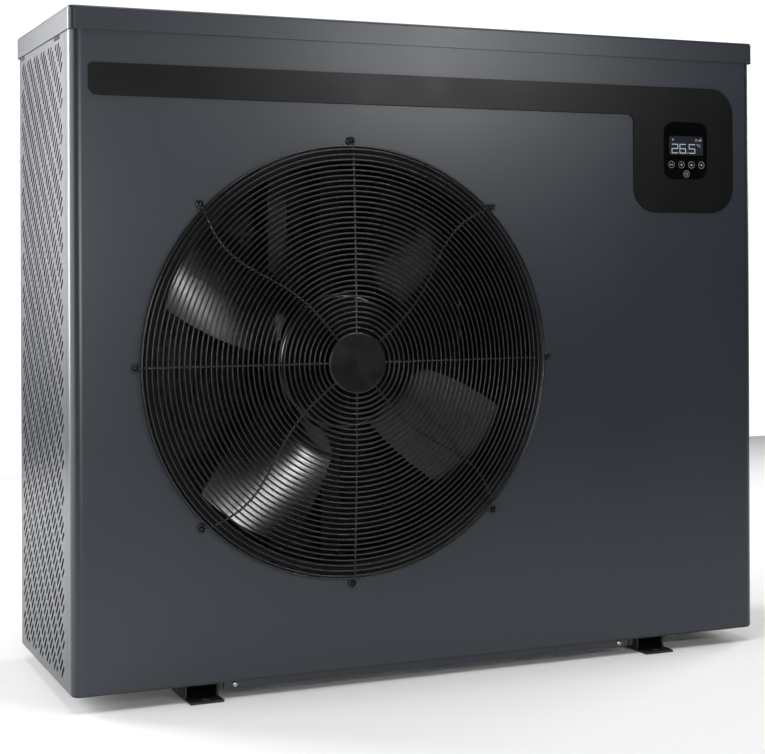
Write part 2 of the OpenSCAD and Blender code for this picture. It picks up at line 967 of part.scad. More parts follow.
module guard_rings() {
    color(black) {
        for (i = [0:ring_count - 1]) {
            r = inner_ring_r + i * ring_pitch;
            guard_ring(r, wire_r, guard_rise(r));
        }
        guard_ring(frame_ring_r, frame_wire_r, guard_edge - frame_ring_drop);
    }
}

// A point of a spoke: every other spoke swings sideways on its way out
function spoke_point(r, angle, swing, rise) =
    let (a = angle + (swing && r > eyelet_circle - swing_span
        ? spoke_swing * sin(180 * (eyelet_circle - r) / swing_span)
        : 0) - (swing && r <= eyelet_circle - swing_span
        ? spoke_swing * sin(180 * (eyelet_circle - swing_span - r) / swing_span) : 0))
    [fan_x + r * cos(a), front_y - rise, fan_z + r * sin(a)];

// A wire of even thickness along points that never run straight to the rear
module wire(points, r) {
    n = len(points);
    m = wire_sides;
    ring = [for (i = [0:n - 1])
        let (v = points[min(i + 1, n - 1)] - points[max(i - 1, 0)],
            t = v / norm(v),
            side = cross(t, [0, 1, 0]) / norm(cross(t, [0, 1, 0])),
            up = cross(side, t))
        [for (k = [0:m - 1]) points[i] + r * (cos(360 * k / m) * side + sin(360 * k / m) * up)]];
    skin = [for (i = [0:n - 2]) for (k = [0:m - 1])
        let (a = i * m + k, b = i * m + (k + 1) % m)
        each [[a, b, b + m], [a, b + m, a + m]]];
    ends = [for (k = [1:m - 2]) each [[0, k + 1, k], [(n - 1) * m, (n - 1) * m + k, (n - 1) * m + k + 1]]];
    polyhedron([for (p = ring) each p], concat(skin, ends));
}

module guard_spokes() {
    drop = wire_r + spoke_wire_r - spoke_weld;
    step_r = (outer_ring_r - spoke_inner_r) / spoke_steps;
    foot_rise = spoke_wire_r + fit;
    color(black)
        for (i = [0:7]) {
            swing = i % 2 == 1;
            wire(concat(
                [for (k = [0:spoke_steps])
                    let (r = spoke_inner_r + k * step_r)
                    spoke_point(r, 45 * i, swing, guard_rise(r) - drop)],
                [spoke_point(eyelet_circle - eyelet_r, 45 * i, swing, foot_rise)]), spoke_wire_r);
            translate(spoke_point(eyelet_circle, 45 * i, false, foot_rise))
                rotate([90, 0, 0]) rotate_extrude() translate([eyelet_r, 0]) circle(spoke_wire_r);
        }
}

module guard_centre_disc() {
    y = front_y - guard_rise(inner_ring_r) - wire_r + disc_seat;
    color(black)
        translate([fan_x, y, fan_z]) rotate([90, 0, 0])
            rotate_extrude() {
                square([disc_r - disc_t, disc_t]);
                intersection() {
                    translate([disc_r - disc_t, 0]) circle(disc_t);
                    square([disc_r, disc_t]);
                }
            }
}

module guard_screws() {
    color(black)
        for (i = [0:7])
            translate([fan_x + eyelet_circle * cos(45 * i), front_y,
                fan_z + eyelet_circle * sin(45 * i)])
                rotate([90, 0, 0]) screw(eyelet_r - spoke_wire_r - fit, guard_screw_h);
}

module fan_hub() {
    color(black)
        translate([fan_x, hub_front_y, fan_z]) rotate([-90, 0, 0])
            rotate_extrude() {
                translate([shaft_r + running, 0]) square([hub_r - hub_edge_r - shaft_r - running, hub_face]);
                translate([shaft_r + running, 0]) square([boss_r - shaft_r, boss_depth]);
                translate([hub_r - hub_wall, hub_edge_r]) square([hub_wall, hub_depth - hub_edge_r]);
                translate([hub_r - hub_edge_r, hub_edge_r])
                    intersection() {
                        difference() {
                            circle(hub_edge_r);
                            circle(hub_edge_r - hub_wall);
                        }
                        translate([0, -hub_edge_r - 1]) square(hub_edge_r + 1);
                    }
            }
}

// Edge angles and depth of a blade: u runs from root to tip, v from the far edge to the near edge
function blade_far_angle(u) = blade_back_root + (blade_back_tip - blade_back_root) * u;
function blade_near_angle(u) = blade_front_root + (blade_front_tip - blade_front_root) * u
    - blade_near_cut * pow(max(0, 1 - u / blade_cut_share), 2);
function blade_radius(u) = hub_r - blade_root_in + (tip_r - hub_r + blade_root_in) * u;
function blade_point(u, v, side, turn) =
    let (a = blade_far_angle(u) + (blade_near_angle(u) - blade_far_angle(u)) * v + turn,
        r = blade_radius(u),
        thin = blade_edge_share + (1 - blade_edge_share) * sin(180 * v),
        y = blade_far_y + (blade_near_y - blade_far_y) * v * (1 - blade_flatten * u)
            - blade_tip_forward * u - blade_camber * sin(180 * v) + side * blade_t * thin / 2)
    [fan_x + r * cos(a), y, fan_z + r * sin(a)];

module blade(turn) {
    nu = blade_steps_r;
    nv = blade_steps_a;
    row = nv + 1;
    sheet_n = (nu + 1) * row;
    points = [for (s = [-1, 1]) for (i = [0:nu]) for (j = [0:nv]) blade_point(i / nu, j / nv, s, turn)];
    front = [for (i = [0:nu - 1]) for (j = [0:nv - 1])
        let (p = i * row + j) each [[p, p + 1, p + row + 1], [p, p + row + 1, p + row]]];
    back = [for (i = [0:nu - 1]) for (j = [0:nv - 1])
        let (p = sheet_n + i * row + j) each [[p, p + row + 1, p + 1], [p, p + row, p + row + 1]]];
    far_near = [for (i = [0:nu - 1])
        let (p = i * row, q = i * row + nv)
        each [[p, p + row, sheet_n + p + row], [p, sheet_n + p + row, sheet_n + p],
            [q, sheet_n + q, sheet_n + q + row], [q, sheet_n + q + row, q + row]]];
    root_tip = [for (j = [0:nv - 1])
        let (p = j, q = nu * row + j)
        each [[p, sheet_n + p, sheet_n + p + 1], [p, sheet_n + p + 1, p + 1],
            [q, q + 1, sheet_n + q + 1], [q, sheet_n + q + 1, sheet_n + q]]];
    polyhedron(points, concat(front, back, far_near, root_tip));
}

module fan_blades() {
    color(black)
        for (i = [0:blade_count - 1])
            blade(i * 360 / blade_count);
}

module fan_nut() {
    color(steel)
        translate([fan_x, hub_front_y, fan_z]) rotate([90, 0, 0])
            difference() {
                cylinder(h = nut_h, r = nut_r, $fn = 6);
                translate([0, 0, -1]) cylinder(h = nut_h + 2, r = shaft_r + running);
            }
}

// ---- motor ----

module motor_shaft() {
    color(steel)
        y_rod(fan_x, shaft_front_y, motor_y1 - motor_wall - fit, fan_z, shaft_r);
}

module motor_rotor() {
    color(steel)
        difference() {
            y_rod(fan_x, motor_y0 + core_margin, motor_y1 - core_margin, fan_z, rotor_r);
            y_rod(fan_x, motor_y0, motor_y1, fan_z, shaft_r + running);
        }
}

module motor_stator() {
    color(copper)
        difference() {
            y_rod(fan_x, motor_y0 + core_margin, motor_y1 - core_margin, fan_z, stator_r);
                y_rod(fan_x, motor_y0, motor_y1, fan_z, rotor_r + air_gap);
        }
}

module motor_bearings() {
    color(steel)
        for (y = [motor_y0 + fit, motor_y1 - motor_wall - fit - bearing_w])
            difference() {
                y_rod(fan_x, y, y + bearing_w, fan_z, bearing_r);
                y_rod(fan_x, y - 1, y + bearing_w + 1, fan_z, shaft_r + running);
            }
}

module motor_housing() {
    pocket = bearing_r + running;
    color(steel)
        difference() {
            y_rod(fan_x, motor_y0 - motor_wall, motor_y1, fan_z, motor_r);
            y_rod(fan_x, motor_y0 + core_margin - core_room, motor_y1 - core_margin + core_room, fan_z,
                motor_r - motor_wall);
            y_rod(fan_x, motor_y0, motor_y1 - motor_wall, fan_z, pocket);
            y_rod(fan_x, motor_y0 - motor_wall - 1, motor_y0 + 1, fan_z, shaft_r + 2);
        }
}

module motor_bracket() {
    y = motor_y1 + fit;
    z0 = pan_floor + fit;
    z1 = brace_z - fit;
    color(steel) {
        box([fan_x - bracket_half, y, fan_z - bracket_half],
            [fan_x + bracket_half, y + bracket_plate, fan_z + bracket_half]);
        for (s = [-1, 1])
            translate([fan_x + s * rail_x, y + bracket_plate, z0])
                difference() {
                    translate([-rail_w / 2, 0, 0]) cube([rail_w, rail_d, z1 - z0]);
                    translate([-rail_w / 2 + rail_wall, rail_wall, -1])
                        cube([rail_w - 2 * rail_wall, rail_d, z1 - z0 + 2]);
                }
    }
}

// ---- air coil ----

module coil_outline() {
    cx = coil_left_x + coil_bend_r;
    cy = coil_rear_y - coil_bend_r;
    translate([cx, coil_rear_y - coil_t]) square([coil_right_x - cx, coil_t]);
    translate([coil_left_x, coil_front_y]) square([coil_t, cy - coil_front_y]);
    intersection() {
        translate([cx, cy]) difference() {
            circle(coil_bend_r);
            circle(coil_bend_r - coil_t);
        }
        translate([coil_left_x, cy]) square(coil_bend_r);
    }
}

module coil_fins() {
    color("#9aa0a6")
        translate([0, 0, coil_z0]) linear_extrude(coil_z1 - coil_z0) coil_outline();
}

module coil_end_plates() {
    o = end_plate_over;
    color(steel) {
        box([coil_left_x - o, coil_front_y - end_plate - fit, pan_floor + fit],
            [coil_left_x + coil_t + o, coil_front_y - fit, coil_z1 + o]);
        box([coil_right_x + fit, coil_rear_y - coil_t - o, pan_floor + fit],
            [coil_right_x + fit + end_plate, coil_rear_y + o, coil_z1 + o]);
    }
}

// Half rings that join one tube to the next at both ends of the coil
module coil_bends() {
    count = floor((coil_z1 - coil_z0 - 2 * bend_margin) / bend_step);
    color(copper)
        for (i = [0:count - 1])
            for (row = [0, 1]) {
                z = coil_z0 + bend_margin + bend_r + i * bend_step;
                off = coil_t * (1 + 2 * row) / 4;
                translate([coil_left_x + off, coil_front_y - end_plate - 2 * fit, z])
                    rotate([0, -90, 180]) half_bend();
                translate([coil_right_x + end_plate + 2 * fit, coil_rear_y - off, z])
                    rotate([0, -90, -90]) half_bend();
            }
}

// A half ring in the plane of local x and y, opening towards local -y
module half_bend() {
    rotate_extrude(angle = 180) translate([bend_r, 0]) circle(bend_tube_r);
}

// ---- fascia and controller ----

module fascia_outline() {
    r = fascia_r;
    z_band = fascia_z1 - band_h;
    rounded(fascia_x0, z_band, block_x0 + r, fascia_z1, [fascia_end_low_r, 0, 0, fascia_end_top_r]);
    rounded(block_x0, fascia_z1 - block_h, fascia_x1, fascia_z1, [r, r, r, 0]);
    translate([block_x0, z_band]) difference() {
        translate([-fascia_inner_r, -fascia_inner_r]) square([fascia_inner_r + 1, fascia_inner_r + 1]);
        translate([-fascia_inner_r, -fascia_inner_r]) circle(fascia_inner_r);
    }
}

module fascia() {
    color(black)
        front_plate(front_y, fascia_t)
            difference() {
                fascia_outline();
                translate([ctrl_x, ctrl_z]) rounded_even(tub_w + 2 * fit, tub_h + 2 * fit, tub_r + fit);
            }
}

function key_row_x(i) = ctrl_x + (i - 1.5) * key_pitch;

module controller_housing() {
    color(black)
        difference() {
            union() {
                front_plate(ctrl_back_y, ctrl_flange)
                    translate([ctrl_x, ctrl_z]) rounded_even(ctrl_w, ctrl_h, ctrl_r);
                front_plate(tub_back_y, tub_back_y - ctrl_back_y)
                    translate([ctrl_x, ctrl_z]) rounded_even(tub_w, tub_h, tub_r);
            }
            front_plate(tub_back_y + 1, tub_back_y + 1 - ctrl_back_y)
                translate([ctrl_x, ctrl_z])
                    rounded_even(tub_w - 2 * tub_wall, tub_h - 2 * tub_wall, tub_r - tub_wall);
            front_plate(ctrl_front_y + window_t + fit, window_t + fit + 1)
                translate([ctrl_x, window_z])
                    rounded_even(window_w + 2 * fit, window_h + 2 * fit, window_r + fit);
            front_plate(ctrl_back_y + 1, ctrl_flange + 2)
                translate([ctrl_x, window_z])
                    rounded_even(window_w - 2 * window_ledge, window_h - 2 * window_ledge, window_r / 2);
            for (k = key_places) {
                y_rod(k[0], ctrl_front_y - 1, key_pocket_y, k[1], key_r + key_gap);
                y_rod(k[0], ctrl_front_y - 1, ctrl_back_y + 1, k[1], key_stem_r + key_gap);
            }
        }
}

module controller_gasket() {
    color("#202020")
        front_plate(fascia_front_y, gasket_t)
            translate([ctrl_x, ctrl_z])
                difference() {
                    rounded_even(tub_w + 2 * gasket_w, tub_h + 2 * gasket_w, tub_r + gasket_w);
                    rounded_even(tub_w + fit, tub_h + fit, tub_r + fit / 2);
                }
}

module display_window() {
    color("#2b2f33")
        front_plate(ctrl_front_y + window_t, window_t)
            translate([ctrl_x, window_z]) rounded_even(window_w, window_h, window_r);
}

module display_module() {
    lcd_w = window_w - 2 * window_ledge - 2 * lcd_margin;
    lcd_h = window_h - 2 * window_ledge - 2 * lcd_margin;
    board_w = tub_w - 2 * tub_wall - 2 * fit;
    board_h = tub_h - 2 * tub_wall - 2 * fit;
    color("#1f5c3a") {
        front_plate(board_y, board_t)
            translate([ctrl_x, ctrl_z]) rounded_even(board_w, board_h, tub_r - tub_wall - fit);
        translate([ctrl_x - lcd_w / 2, board_y - board_t - lcd_d, window_z - lcd_h / 2])
            cube([lcd_w, lcd_d + 0.1, lcd_h]);
        for (k = key_places)
            y_rod(k[0], key_back_y + key_travel + fit / 2, board_y - board_t + 0.1, k[1], switch_r);
    }
}

// A round key: its cap stands proud of its pocket, and a collar on its stem holds it in from behind
module key(i) {
    x = key_places[i][0];
    z = key_places[i][1];
    color("#101112") {
        y_rod(x, ctrl_front_y - key_proud, ctrl_front_y + key_cap_in, z, key_r);
        y_rod(x, ctrl_front_y, key_back_y, z, key_stem_r);
        y_rod(x, ctrl_back_y + fit, ctrl_back_y + fit + key_collar_t, z, key_collar_r);
    }
}

module key_mode() {
    key(0);
}

module key_fan() {
    key(1);
}

module key_up() {
    key(2);
}

module key_down() {
    key(3);
}

module key_power() {
    key(4);
}

// ---- electrical box ----

module electrical_box() {
    color("#c9c9c4")
        difference() {
            box([box_x0, box_y0, box_z1 - box_h], [box_x1, box_y0 + box_d, box_z1]);
            box([box_x0 + box_wall, box_y0 + box_wall, box_z1 - box_h + box_wall],
                [box_x1 - box_wall, box_y0 + box_d + 1, box_z1 - box_wall]);
            z_rod(box_x0 + box_cable_in, box_y0 + box_d / 2, box_z1 - box_h - 1,
                box_z1 - box_h + box_wall + 1, box_cable_r);
        }
}

// The board with three capacitors and four relays along its top and a terminal strip along its foot
module control_board() {
    y = box_y0 + box_wall + board_stand;
    face_y = y + board_t - running;
    x0 = box_x0 + board_inset;
    x1 = box_x1 - board_inset;
    z0 = box_z1 - box_h + board_inset;
    z1 = box_z1 - board_inset;
    color("#1f5c3a") {
        box([x0, y, z0], [x1, y + board_t, z1]);
        for (i = [0:2])
            y_rod(x0 + 36 + i * 2.5 * capacitor_r, face_y, face_y + capacitor_h, z1 - 2.5 * capacitor_r,
                capacitor_r);
        for (i = [0:3])
            translate([x0 + 130 + i * 1.3 * relay.x, face_y, z1 - 20 - relay.z]) cube(relay);
        box([x0 + terminal.x, face_y, z0 + terminal.z],
            [x1 - terminal.x, face_y + terminal.y, z0 + terminal.z + terminal.y]);
    }
}

// ---- refrigerant circuit ----

module compressor() {
    z1 = comp_z0 + mount_plate;
    dome_z = z1 + comp_h - dome_r;
    shoulder_z = dome_z + sqrt(dome_r * dome_r - comp_r * comp_r);
    color(black)
        difference() {
            union() {
                z_rod(comp_x, comp_y, z1 - 1, shoulder_z, comp_r);
                intersection() {
                    z_rod(comp_x, comp_y, shoulder_z - 1, z1 + comp_h, comp_r);
                    translate([comp_x, comp_y, dome_z]) sphere(dome_r);
                }
                for (i = [0:2])
                    translate([comp_x, comp_y, comp_z0]) rotate(120 * i + mount_turn)
                        translate([0, -mount_r, 0]) cube([mount_circle + mount_r, 2 * mount_r, mount_plate]);
                z_rod(comp_x, comp_y + comp_port_y, z1 + comp_h - comp_port_d, z1 + comp_h + comp_port_h,
                    pipe_r + port_wall);
            }
            for (i = [0:2])
                translate([comp_x, comp_y, comp_z0 - 1]) rotate(120 * i + mount_turn)
                    translate([mount_circle, 0, 0]) cylinder(h = mount_plate + 2, r = mount_bolt_r);
        }
}

module compressor_mounts() {
    pad_h = comp_z0 - pan_floor;
    color("#202020")
        for (i = [0:2])
            translate([comp_x, comp_y, 0]) rotate(120 * i + mount_turn)
                translate([mount_circle, 0, pan_floor]) {
                    cylinder(h = pad_h, r = mount_r);
                    cylinder(h = pad_h + mount_plate + screw_head, r = mount_bolt_r - fit / 2);
                }
}

module accumulator() {
    color(black) {
        z_rod(acc_x, acc_y, acc_z0, acc_z0 + acc_h, acc_r);
        z_rod(acc_x, acc_y, acc_z0 + acc_h - 1, acc_z0 + acc_h + acc_dome_h, acc_r - acc_dome_inset);
        z_rod(acc_x, acc_y, pan_floor, acc_z0 + 1, acc_stem_r);
    }
}

module four_way_valve() {
    coil_y1 = valve_y - valve_r;
    color("#b5a04a") {
        x_rod(valve_x - valve_l / 2, valve_x + valve_l / 2, valve_y, valve_z, valve_r);
        z_rod(valve_x, valve_y, valve_z, valve_z + valve_port_l, valve_port_r);
        for (s = [-1, 0, 1])
            z_rod(valve_x + s * valve_port_step, valve_y, valve_z - valve_port_l, valve_z, valve_port_r);
        y_rod(valve_x, coil_y1 - solenoid_l, valve_y, valve_z, valve_port_r);
        y_rod(valve_x, coil_y1 - solenoid_l, coil_y1 - solenoid_gap, valve_z, solenoid_r);
    }
}

module expansion_valve() {
    color("#b5a04a") {
        z_rod(txv_x, txv_y, txv_z, txv_z + txv_l, txv_r);
        z_rod(txv_x, txv_y, txv_z + txv_l - 2, txv_z + txv_l + txv_coil_l, txv_coil_r);
    }
}

module refrigerant_pipes() {
    e = pipe_end_gap;
    comp_top = comp_z0 + mount_plate + comp_h + comp_port_h;
    port_z = valve_z - valve_port_l;
    loop_z = valve_z + valve_port_l + loop_up;
    wall_x = bulkhead_x + sheet + pipe_r + wall_gap;
    coil_x = coil_right_x + end_plate + 2 * fit;
    coil_y = coil_rear_y - coil_t / 2;
    hx_low_x = hx_x - hx_port_side;
    hx_low_side = hx_port_side - pipe_r;
    hx_low_y = hx_y - sqrt(hx_r * hx_r - hx_low_side * hx_low_side) - e;
    hx_low_z = hx_z0 + hx_foot + hx_port_low;
    hx_high_z = hx_z0 + hx_foot + hx_h - hx_port_high;
    hx_gap_x = hx_x - hx_cap_r - hx_pipe_gap;
    front_run_y = acc_y - acc_r - front_run;
    across = [comp_x - acc_x, comp_y - acc_y, 0];
    along = across / norm(across);
    acc_out = [acc_x, acc_y, acc_z0 + acc_link_up] + along * (acc_r + e);
    comp_in = [comp_x, comp_y, acc_z0 + acc_link_up] - along * (comp_r + e);
    color(copper) {
        pipe_run([
            [comp_x, comp_y + comp_port_y, comp_top + e],
            [comp_x, comp_y + comp_port_y, loop_z],
            [valve_x, valve_y, loop_z],
            [valve_x, valve_y, valve_z + valve_port_l + e]]);
        pipe_run([
            [valve_x, valve_y, port_z - e],
            [valve_x, valve_y, port_z - suction_down],
            [acc_x + acc_inlet_x, acc_y, port_z - suction_down],
            [acc_x + acc_inlet_x, acc_y, acc_z0 + acc_h + acc_dome_h + e]]);
        pipe_run([acc_out, comp_in]);
        pipe_run([
            [valve_x - valve_port_step, valve_y, port_z - e],
            [valve_x - valve_port_step, valve_y, port_z - gas_down],
            [wall_x, coil_y, port_z - gas_down],
            [wall_x, coil_y, window_gas_z],
            [coil_x, coil_y, window_gas_z]]);
        pipe_run([
            [valve_x + valve_port_step, valve_y, port_z - e],
            [valve_x + valve_port_step, valve_y, port_z - water_side_down],
            [hx_gap_x, hx_y, port_z - water_side_down],
            [hx_gap_x, hx_y, hx_high_z],
            [hx_x - hx_r - e, hx_y, hx_high_z]]);
        pipe_run([
            [hx_low_x, hx_low_y, hx_low_z],
            [hx_low_x, front_run_y, hx_low_z],
            [txv_x, front_run_y, hx_low_z],
            [txv_x, front_run_y, txv_z - loop_up],
            [txv_x, txv_y, txv_z - loop_up],
            [txv_x, txv_y, txv_z - e]]);
        pipe_run([
            [txv_x - txv_r - e, txv_y, txv_z + txv_port_up],
            [wall_x, txv_y, txv_z + txv_port_up],
            [wall_x, txv_y, window_liquid_z],
            [wall_x, coil_y, window_liquid_z],
            [coil_x, coil_y, window_liquid_z]]);
    }
}

// ---- water side ----

module heat_exchanger() {
    z0 = hx_z0 + hx_foot;
    color("#2a2d30")
        difference() {
            union() {
                z_rod(hx_x, hx_y, z0, z0 + hx_h, hx_r);
                z_rod(hx_x, hx_y, z0, z0 + hx_cap_h, hx_cap_r);
                z_rod(hx_x, hx_y, z0 + hx_h - hx_cap_h, z0 + hx_h, hx_cap_r);
                z_rod(hx_x, hx_y, hx_z0, z0 + 1, hx_r - hx_wall);
                for (z = [inlet_z, outlet_z])
                    x_rod(hx_x, spigot_x, hx_y, z, spigot_r);
            }
            for (z = [inlet_z, outlet_z])
                x_rod(hx_x + hx_r - hx_wall, spigot_x + 1, hx_y, z, spigot_bore);
        }
}

module flow_switch() {
    y = hx_y - hx_r - fit;
    color("#b5a04a") {
        y_rod(hx_x, y - flow_stem_l, y, flow_z, flow_stem_r);
        y_rod(hx_x, y - flow_stem_l + 1 - flow_head_l, y - flow_stem_l + 1, flow_z, flow_head_r);
    }
}

// The fixed half of each union and its flat seal, the two glands and the condensate spout
module fittings() {
    color(black) {
        for (z = [inlet_z, outlet_z]) {
            difference() {
                union() {
                    x_rod(spigot_x + fit, stub_x1, hx_y, z, thread_r - thread_relief);
                    x_rod(thread_from, stub_x1 - 1, hx_y, z, thread_r);
                }
                x_rod(spigot_x - 1, stub_x1 + 1, hx_y, z, spigot_bore);
            }
            difference() {
                x_rod(stub_x1, tail_x0, hx_y, z, thread_r - seal_inset);
                x_rod(stub_x1 - 1, tail_x0 + 1, hx_y, z, spigot_bore);
            }
        }
        gland(gland_z, supply_cable_r);
        gland(gland_z + gland_step, signal_cable_r);
        drain_spout();
    }
}

// A cable gland: body through the panel, hexagon outside, cap nut with a rounded tip, lock nut inside
module gland(z, r) {
    x0 = half_w - sheet - gland_in;
    x1 = half_w + gland_out;
    body_r = r + gland_wall;
    difference() {
        union() {
            x_rod(x0, x1 - gland_tip, gland_y, z, body_r);
            translate([half_w + running / 2, gland_y, z]) rotate([0, 90, 0])
                cylinder(h = gland_hex_h, r = body_r + gland_hex_over, $fn = 6);
            x_rod(half_w + gland_hex_h + gland_cap_gap, x1 - gland_tip + 1, gland_y, z,
                body_r + gland_cap_over);
            x_rod(x1 - gland_tip, x1, gland_y, z, body_r - 1);
            x_rod(x0, x0 + gland_nut_h, gland_y, z, body_r + gland_nut_over);
        }
        x_rod(x0 - 1, x1 + 1, gland_y, z, r);
    }
}

module drain_spout() {
    z1 = pan_z - fit;
    z0 = pan_z - drain_flange_t - drain_l;
    difference() {
        union() {
            z_rod(drain_x, drain_y, z1 - drain_flange_t, z1, drain_flange_r);
            z_rod(drain_x, drain_y, z0, z1, drain_r);
        }
        z_rod(drain_x, drain_y, z0 - 1, z1 + 1, drain_r - drain_wall);
    }
}

// The loose half of a union, with the socket for the water pipe
module union_tail(z) {
    x_mid = tail_x1 - socket_d;
    color("#3a3d40")
        difference() {
            union() {
                x_rod(tail_x0, tail_x0 + collar_t, hx_y, z, thread_r);
                x_rod(tail_x0 + collar_t - 1, tail_x1, hx_y, z, socket_r + tail_wall);
            }
            x_rod(tail_x0 - 1, x_mid + 1, hx_y, z, spigot_bore);
            x_rod(x_mid, tail_x1 + 1, hx_y, z, socket_r);
        }
}

module union_tail_inlet() {
    union_tail(inlet_z);
}

module union_tail_outlet() {
    union_tail(outlet_z);
}

// The hand nut: it rides on the thread, and its lip pulls the collar of the tail against the seal
module union_nut(z) {
    r_in = thread_r + nut_clear;
    color(black)
        difference() {
            union() {
                x_rod(nut_x0, nut_x1, hx_y, z, r_in + nut_wall);
                for (i = [0:nut_ribs - 1]) {
                    a = 360 * i / nut_ribs;
                    rib_circle = r_in + nut_wall - nut_rib_in;
                    x_rod(nut_x0 + nut_rib_from, nut_x1 - nut_rib_to, hx_y + rib_circle * cos(a),
                        z + rib_circle * sin(a), nut_rib_r);
                }
            }
            x_rod(nut_x0 - 1, nut_x1 - nut_lip, hx_y, z, r_in);
            x_rod(nut_x0, nut_x1 + 1, hx_y, z, socket_r + tail_wall + nut_clear);
        }
}

module union_nut_inlet() {
    union_nut(inlet_z);
}

module union_nut_outlet() {
    union_nut(outlet_z);
}

base_pan();
foot_left();
foot_right();
skirt_strip();
strip_screws();
front_panel();
left_grille_panel();
lid_clips();
right_panel();
corner_post_left();
corner_post_right();
rear_frame();
rear_guard();
rear_service_panel();
top_cover();
panel_screws();
bulkhead();
top_brace();
fan_shroud();
guard_rings();
guard_spokes();
guard_centre_disc();
guard_screws();
fan_hub();
fan_blades();
fan_nut();
motor_shaft();
motor_rotor();
motor_stator();
motor_bearings();
motor_housing();
motor_bracket();
coil_fins();
coil_bends();
coil_end_plates();
fascia();
controller_housing();
controller_gasket();
display_window();
display_module();
key_mode();
key_fan();
key_up();
key_down();
key_power();
electrical_box();
control_board();
compressor();
compressor_mounts();
accumulator();
four_way_valve();
expansion_valve();
refrigerant_pipes();
heat_exchanger();
flow_switch();
union_tail_inlet();
union_tail_outlet();
union_nut_inlet();
union_nut_outlet();
fittings();
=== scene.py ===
# %% [markdown]
# # A pool heat pump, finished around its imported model
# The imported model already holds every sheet, screw, pipe and moving piece at its true size.
# This script gives each of them its real finish, and it builds again the pieces whose looks
# need more than a plain solid: the wire guard, the fan blades, the coil fins, the screw heads,
# the controller and its display. Everything is in metres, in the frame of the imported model.

# %% Load the frame
import json
import math

import bmesh
import bpy
import numpy as np
from mathutils import Matrix, Vector

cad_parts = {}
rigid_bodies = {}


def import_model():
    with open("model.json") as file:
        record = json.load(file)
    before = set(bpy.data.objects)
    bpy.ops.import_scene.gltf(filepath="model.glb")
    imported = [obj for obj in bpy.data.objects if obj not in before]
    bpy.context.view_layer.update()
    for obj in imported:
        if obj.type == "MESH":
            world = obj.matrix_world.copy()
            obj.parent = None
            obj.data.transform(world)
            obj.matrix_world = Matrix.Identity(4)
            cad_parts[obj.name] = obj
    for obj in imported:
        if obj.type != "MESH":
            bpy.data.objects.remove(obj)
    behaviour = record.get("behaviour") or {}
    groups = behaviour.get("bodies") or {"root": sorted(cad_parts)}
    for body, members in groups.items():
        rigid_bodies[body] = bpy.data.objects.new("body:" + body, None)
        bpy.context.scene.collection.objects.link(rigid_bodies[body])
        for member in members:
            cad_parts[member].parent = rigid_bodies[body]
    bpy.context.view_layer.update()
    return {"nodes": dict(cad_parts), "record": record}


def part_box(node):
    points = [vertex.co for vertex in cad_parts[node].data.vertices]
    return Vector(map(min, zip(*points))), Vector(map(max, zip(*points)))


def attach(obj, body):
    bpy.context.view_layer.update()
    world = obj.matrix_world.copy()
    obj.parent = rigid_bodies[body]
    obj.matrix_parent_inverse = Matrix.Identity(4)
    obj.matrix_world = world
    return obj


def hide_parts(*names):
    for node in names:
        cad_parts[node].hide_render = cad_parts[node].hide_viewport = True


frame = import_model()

record = frame["record"]
slot_of = {part["node"]: part["material_slot"] for part in record["subparts"]}
body_of = {node: body for body, nodes in record["behaviour"]["bodies"].items() for node in nodes}

# %% [markdown]
# ## Small helpers
# Sizes are said in millimetres and turned to metres by `mm`. A colour is written as the sRGB hex
# value that a paint chart would give, and `linear` turns it into what a renderer adds up.
# `add` puts one node in a tree, with its settings and its links, and serves materials and
# Geometry Nodes alike.

# %% Helpers for sizes, colours and nodes
scene = bpy.context.scene


def mm(value):
    """Millimetres as metres."""
    return value / 1000


def linear(code):
    """An sRGB hex colour as linear RGBA."""
    channels = [int(code[i:i + 2], 16) / 255 for i in (1, 3, 5)]
    return (*[c / 12.92 if c <= 0.04045 else ((c + 0.055) / 1.055) ** 2.4 for c in channels], 1.0)


def add(tree, kind, sockets=None, **settings):
    """Adds a node, sets its properties, and gives its sockets a value or a link."""
    node = tree.nodes.new(kind)
    for name, value in settings.items():
        setattr(node, name, value)
    for key, value in (sockets or {}).items():
        if isinstance(value, bpy.types.NodeSocket):
            tree.links.new(value, node.inputs[key])
        else:
            node.inputs[key].default_value = value
    return node


print("paint code #282d34 is", [round(c, 4) for c in linear("#282d34")], "in linear light")

# %% [markdown]
# ## Finishes
# Nearly every surface here is a paint or a plastic: a dielectric whose gloss is set by how it was
# made. So one function lays down the three things they share, which are a colour that wanders
# a little, a roughness that wanders a little, and a fine relief. The relief is the texture that
# gives a finish its name: orange peel on powder coat, spark erosion on moulded plastic, brushing
# on metal. All patterns are laid out in object space, in real millimetres.

# %% The shared surface
calm, lively = 0.3, 0.7  # where the noise that drives the gloss begins and ends
first_colour, second_colour, mixed_colour = 6, 7, 2  # a Mix node's sockets for colours


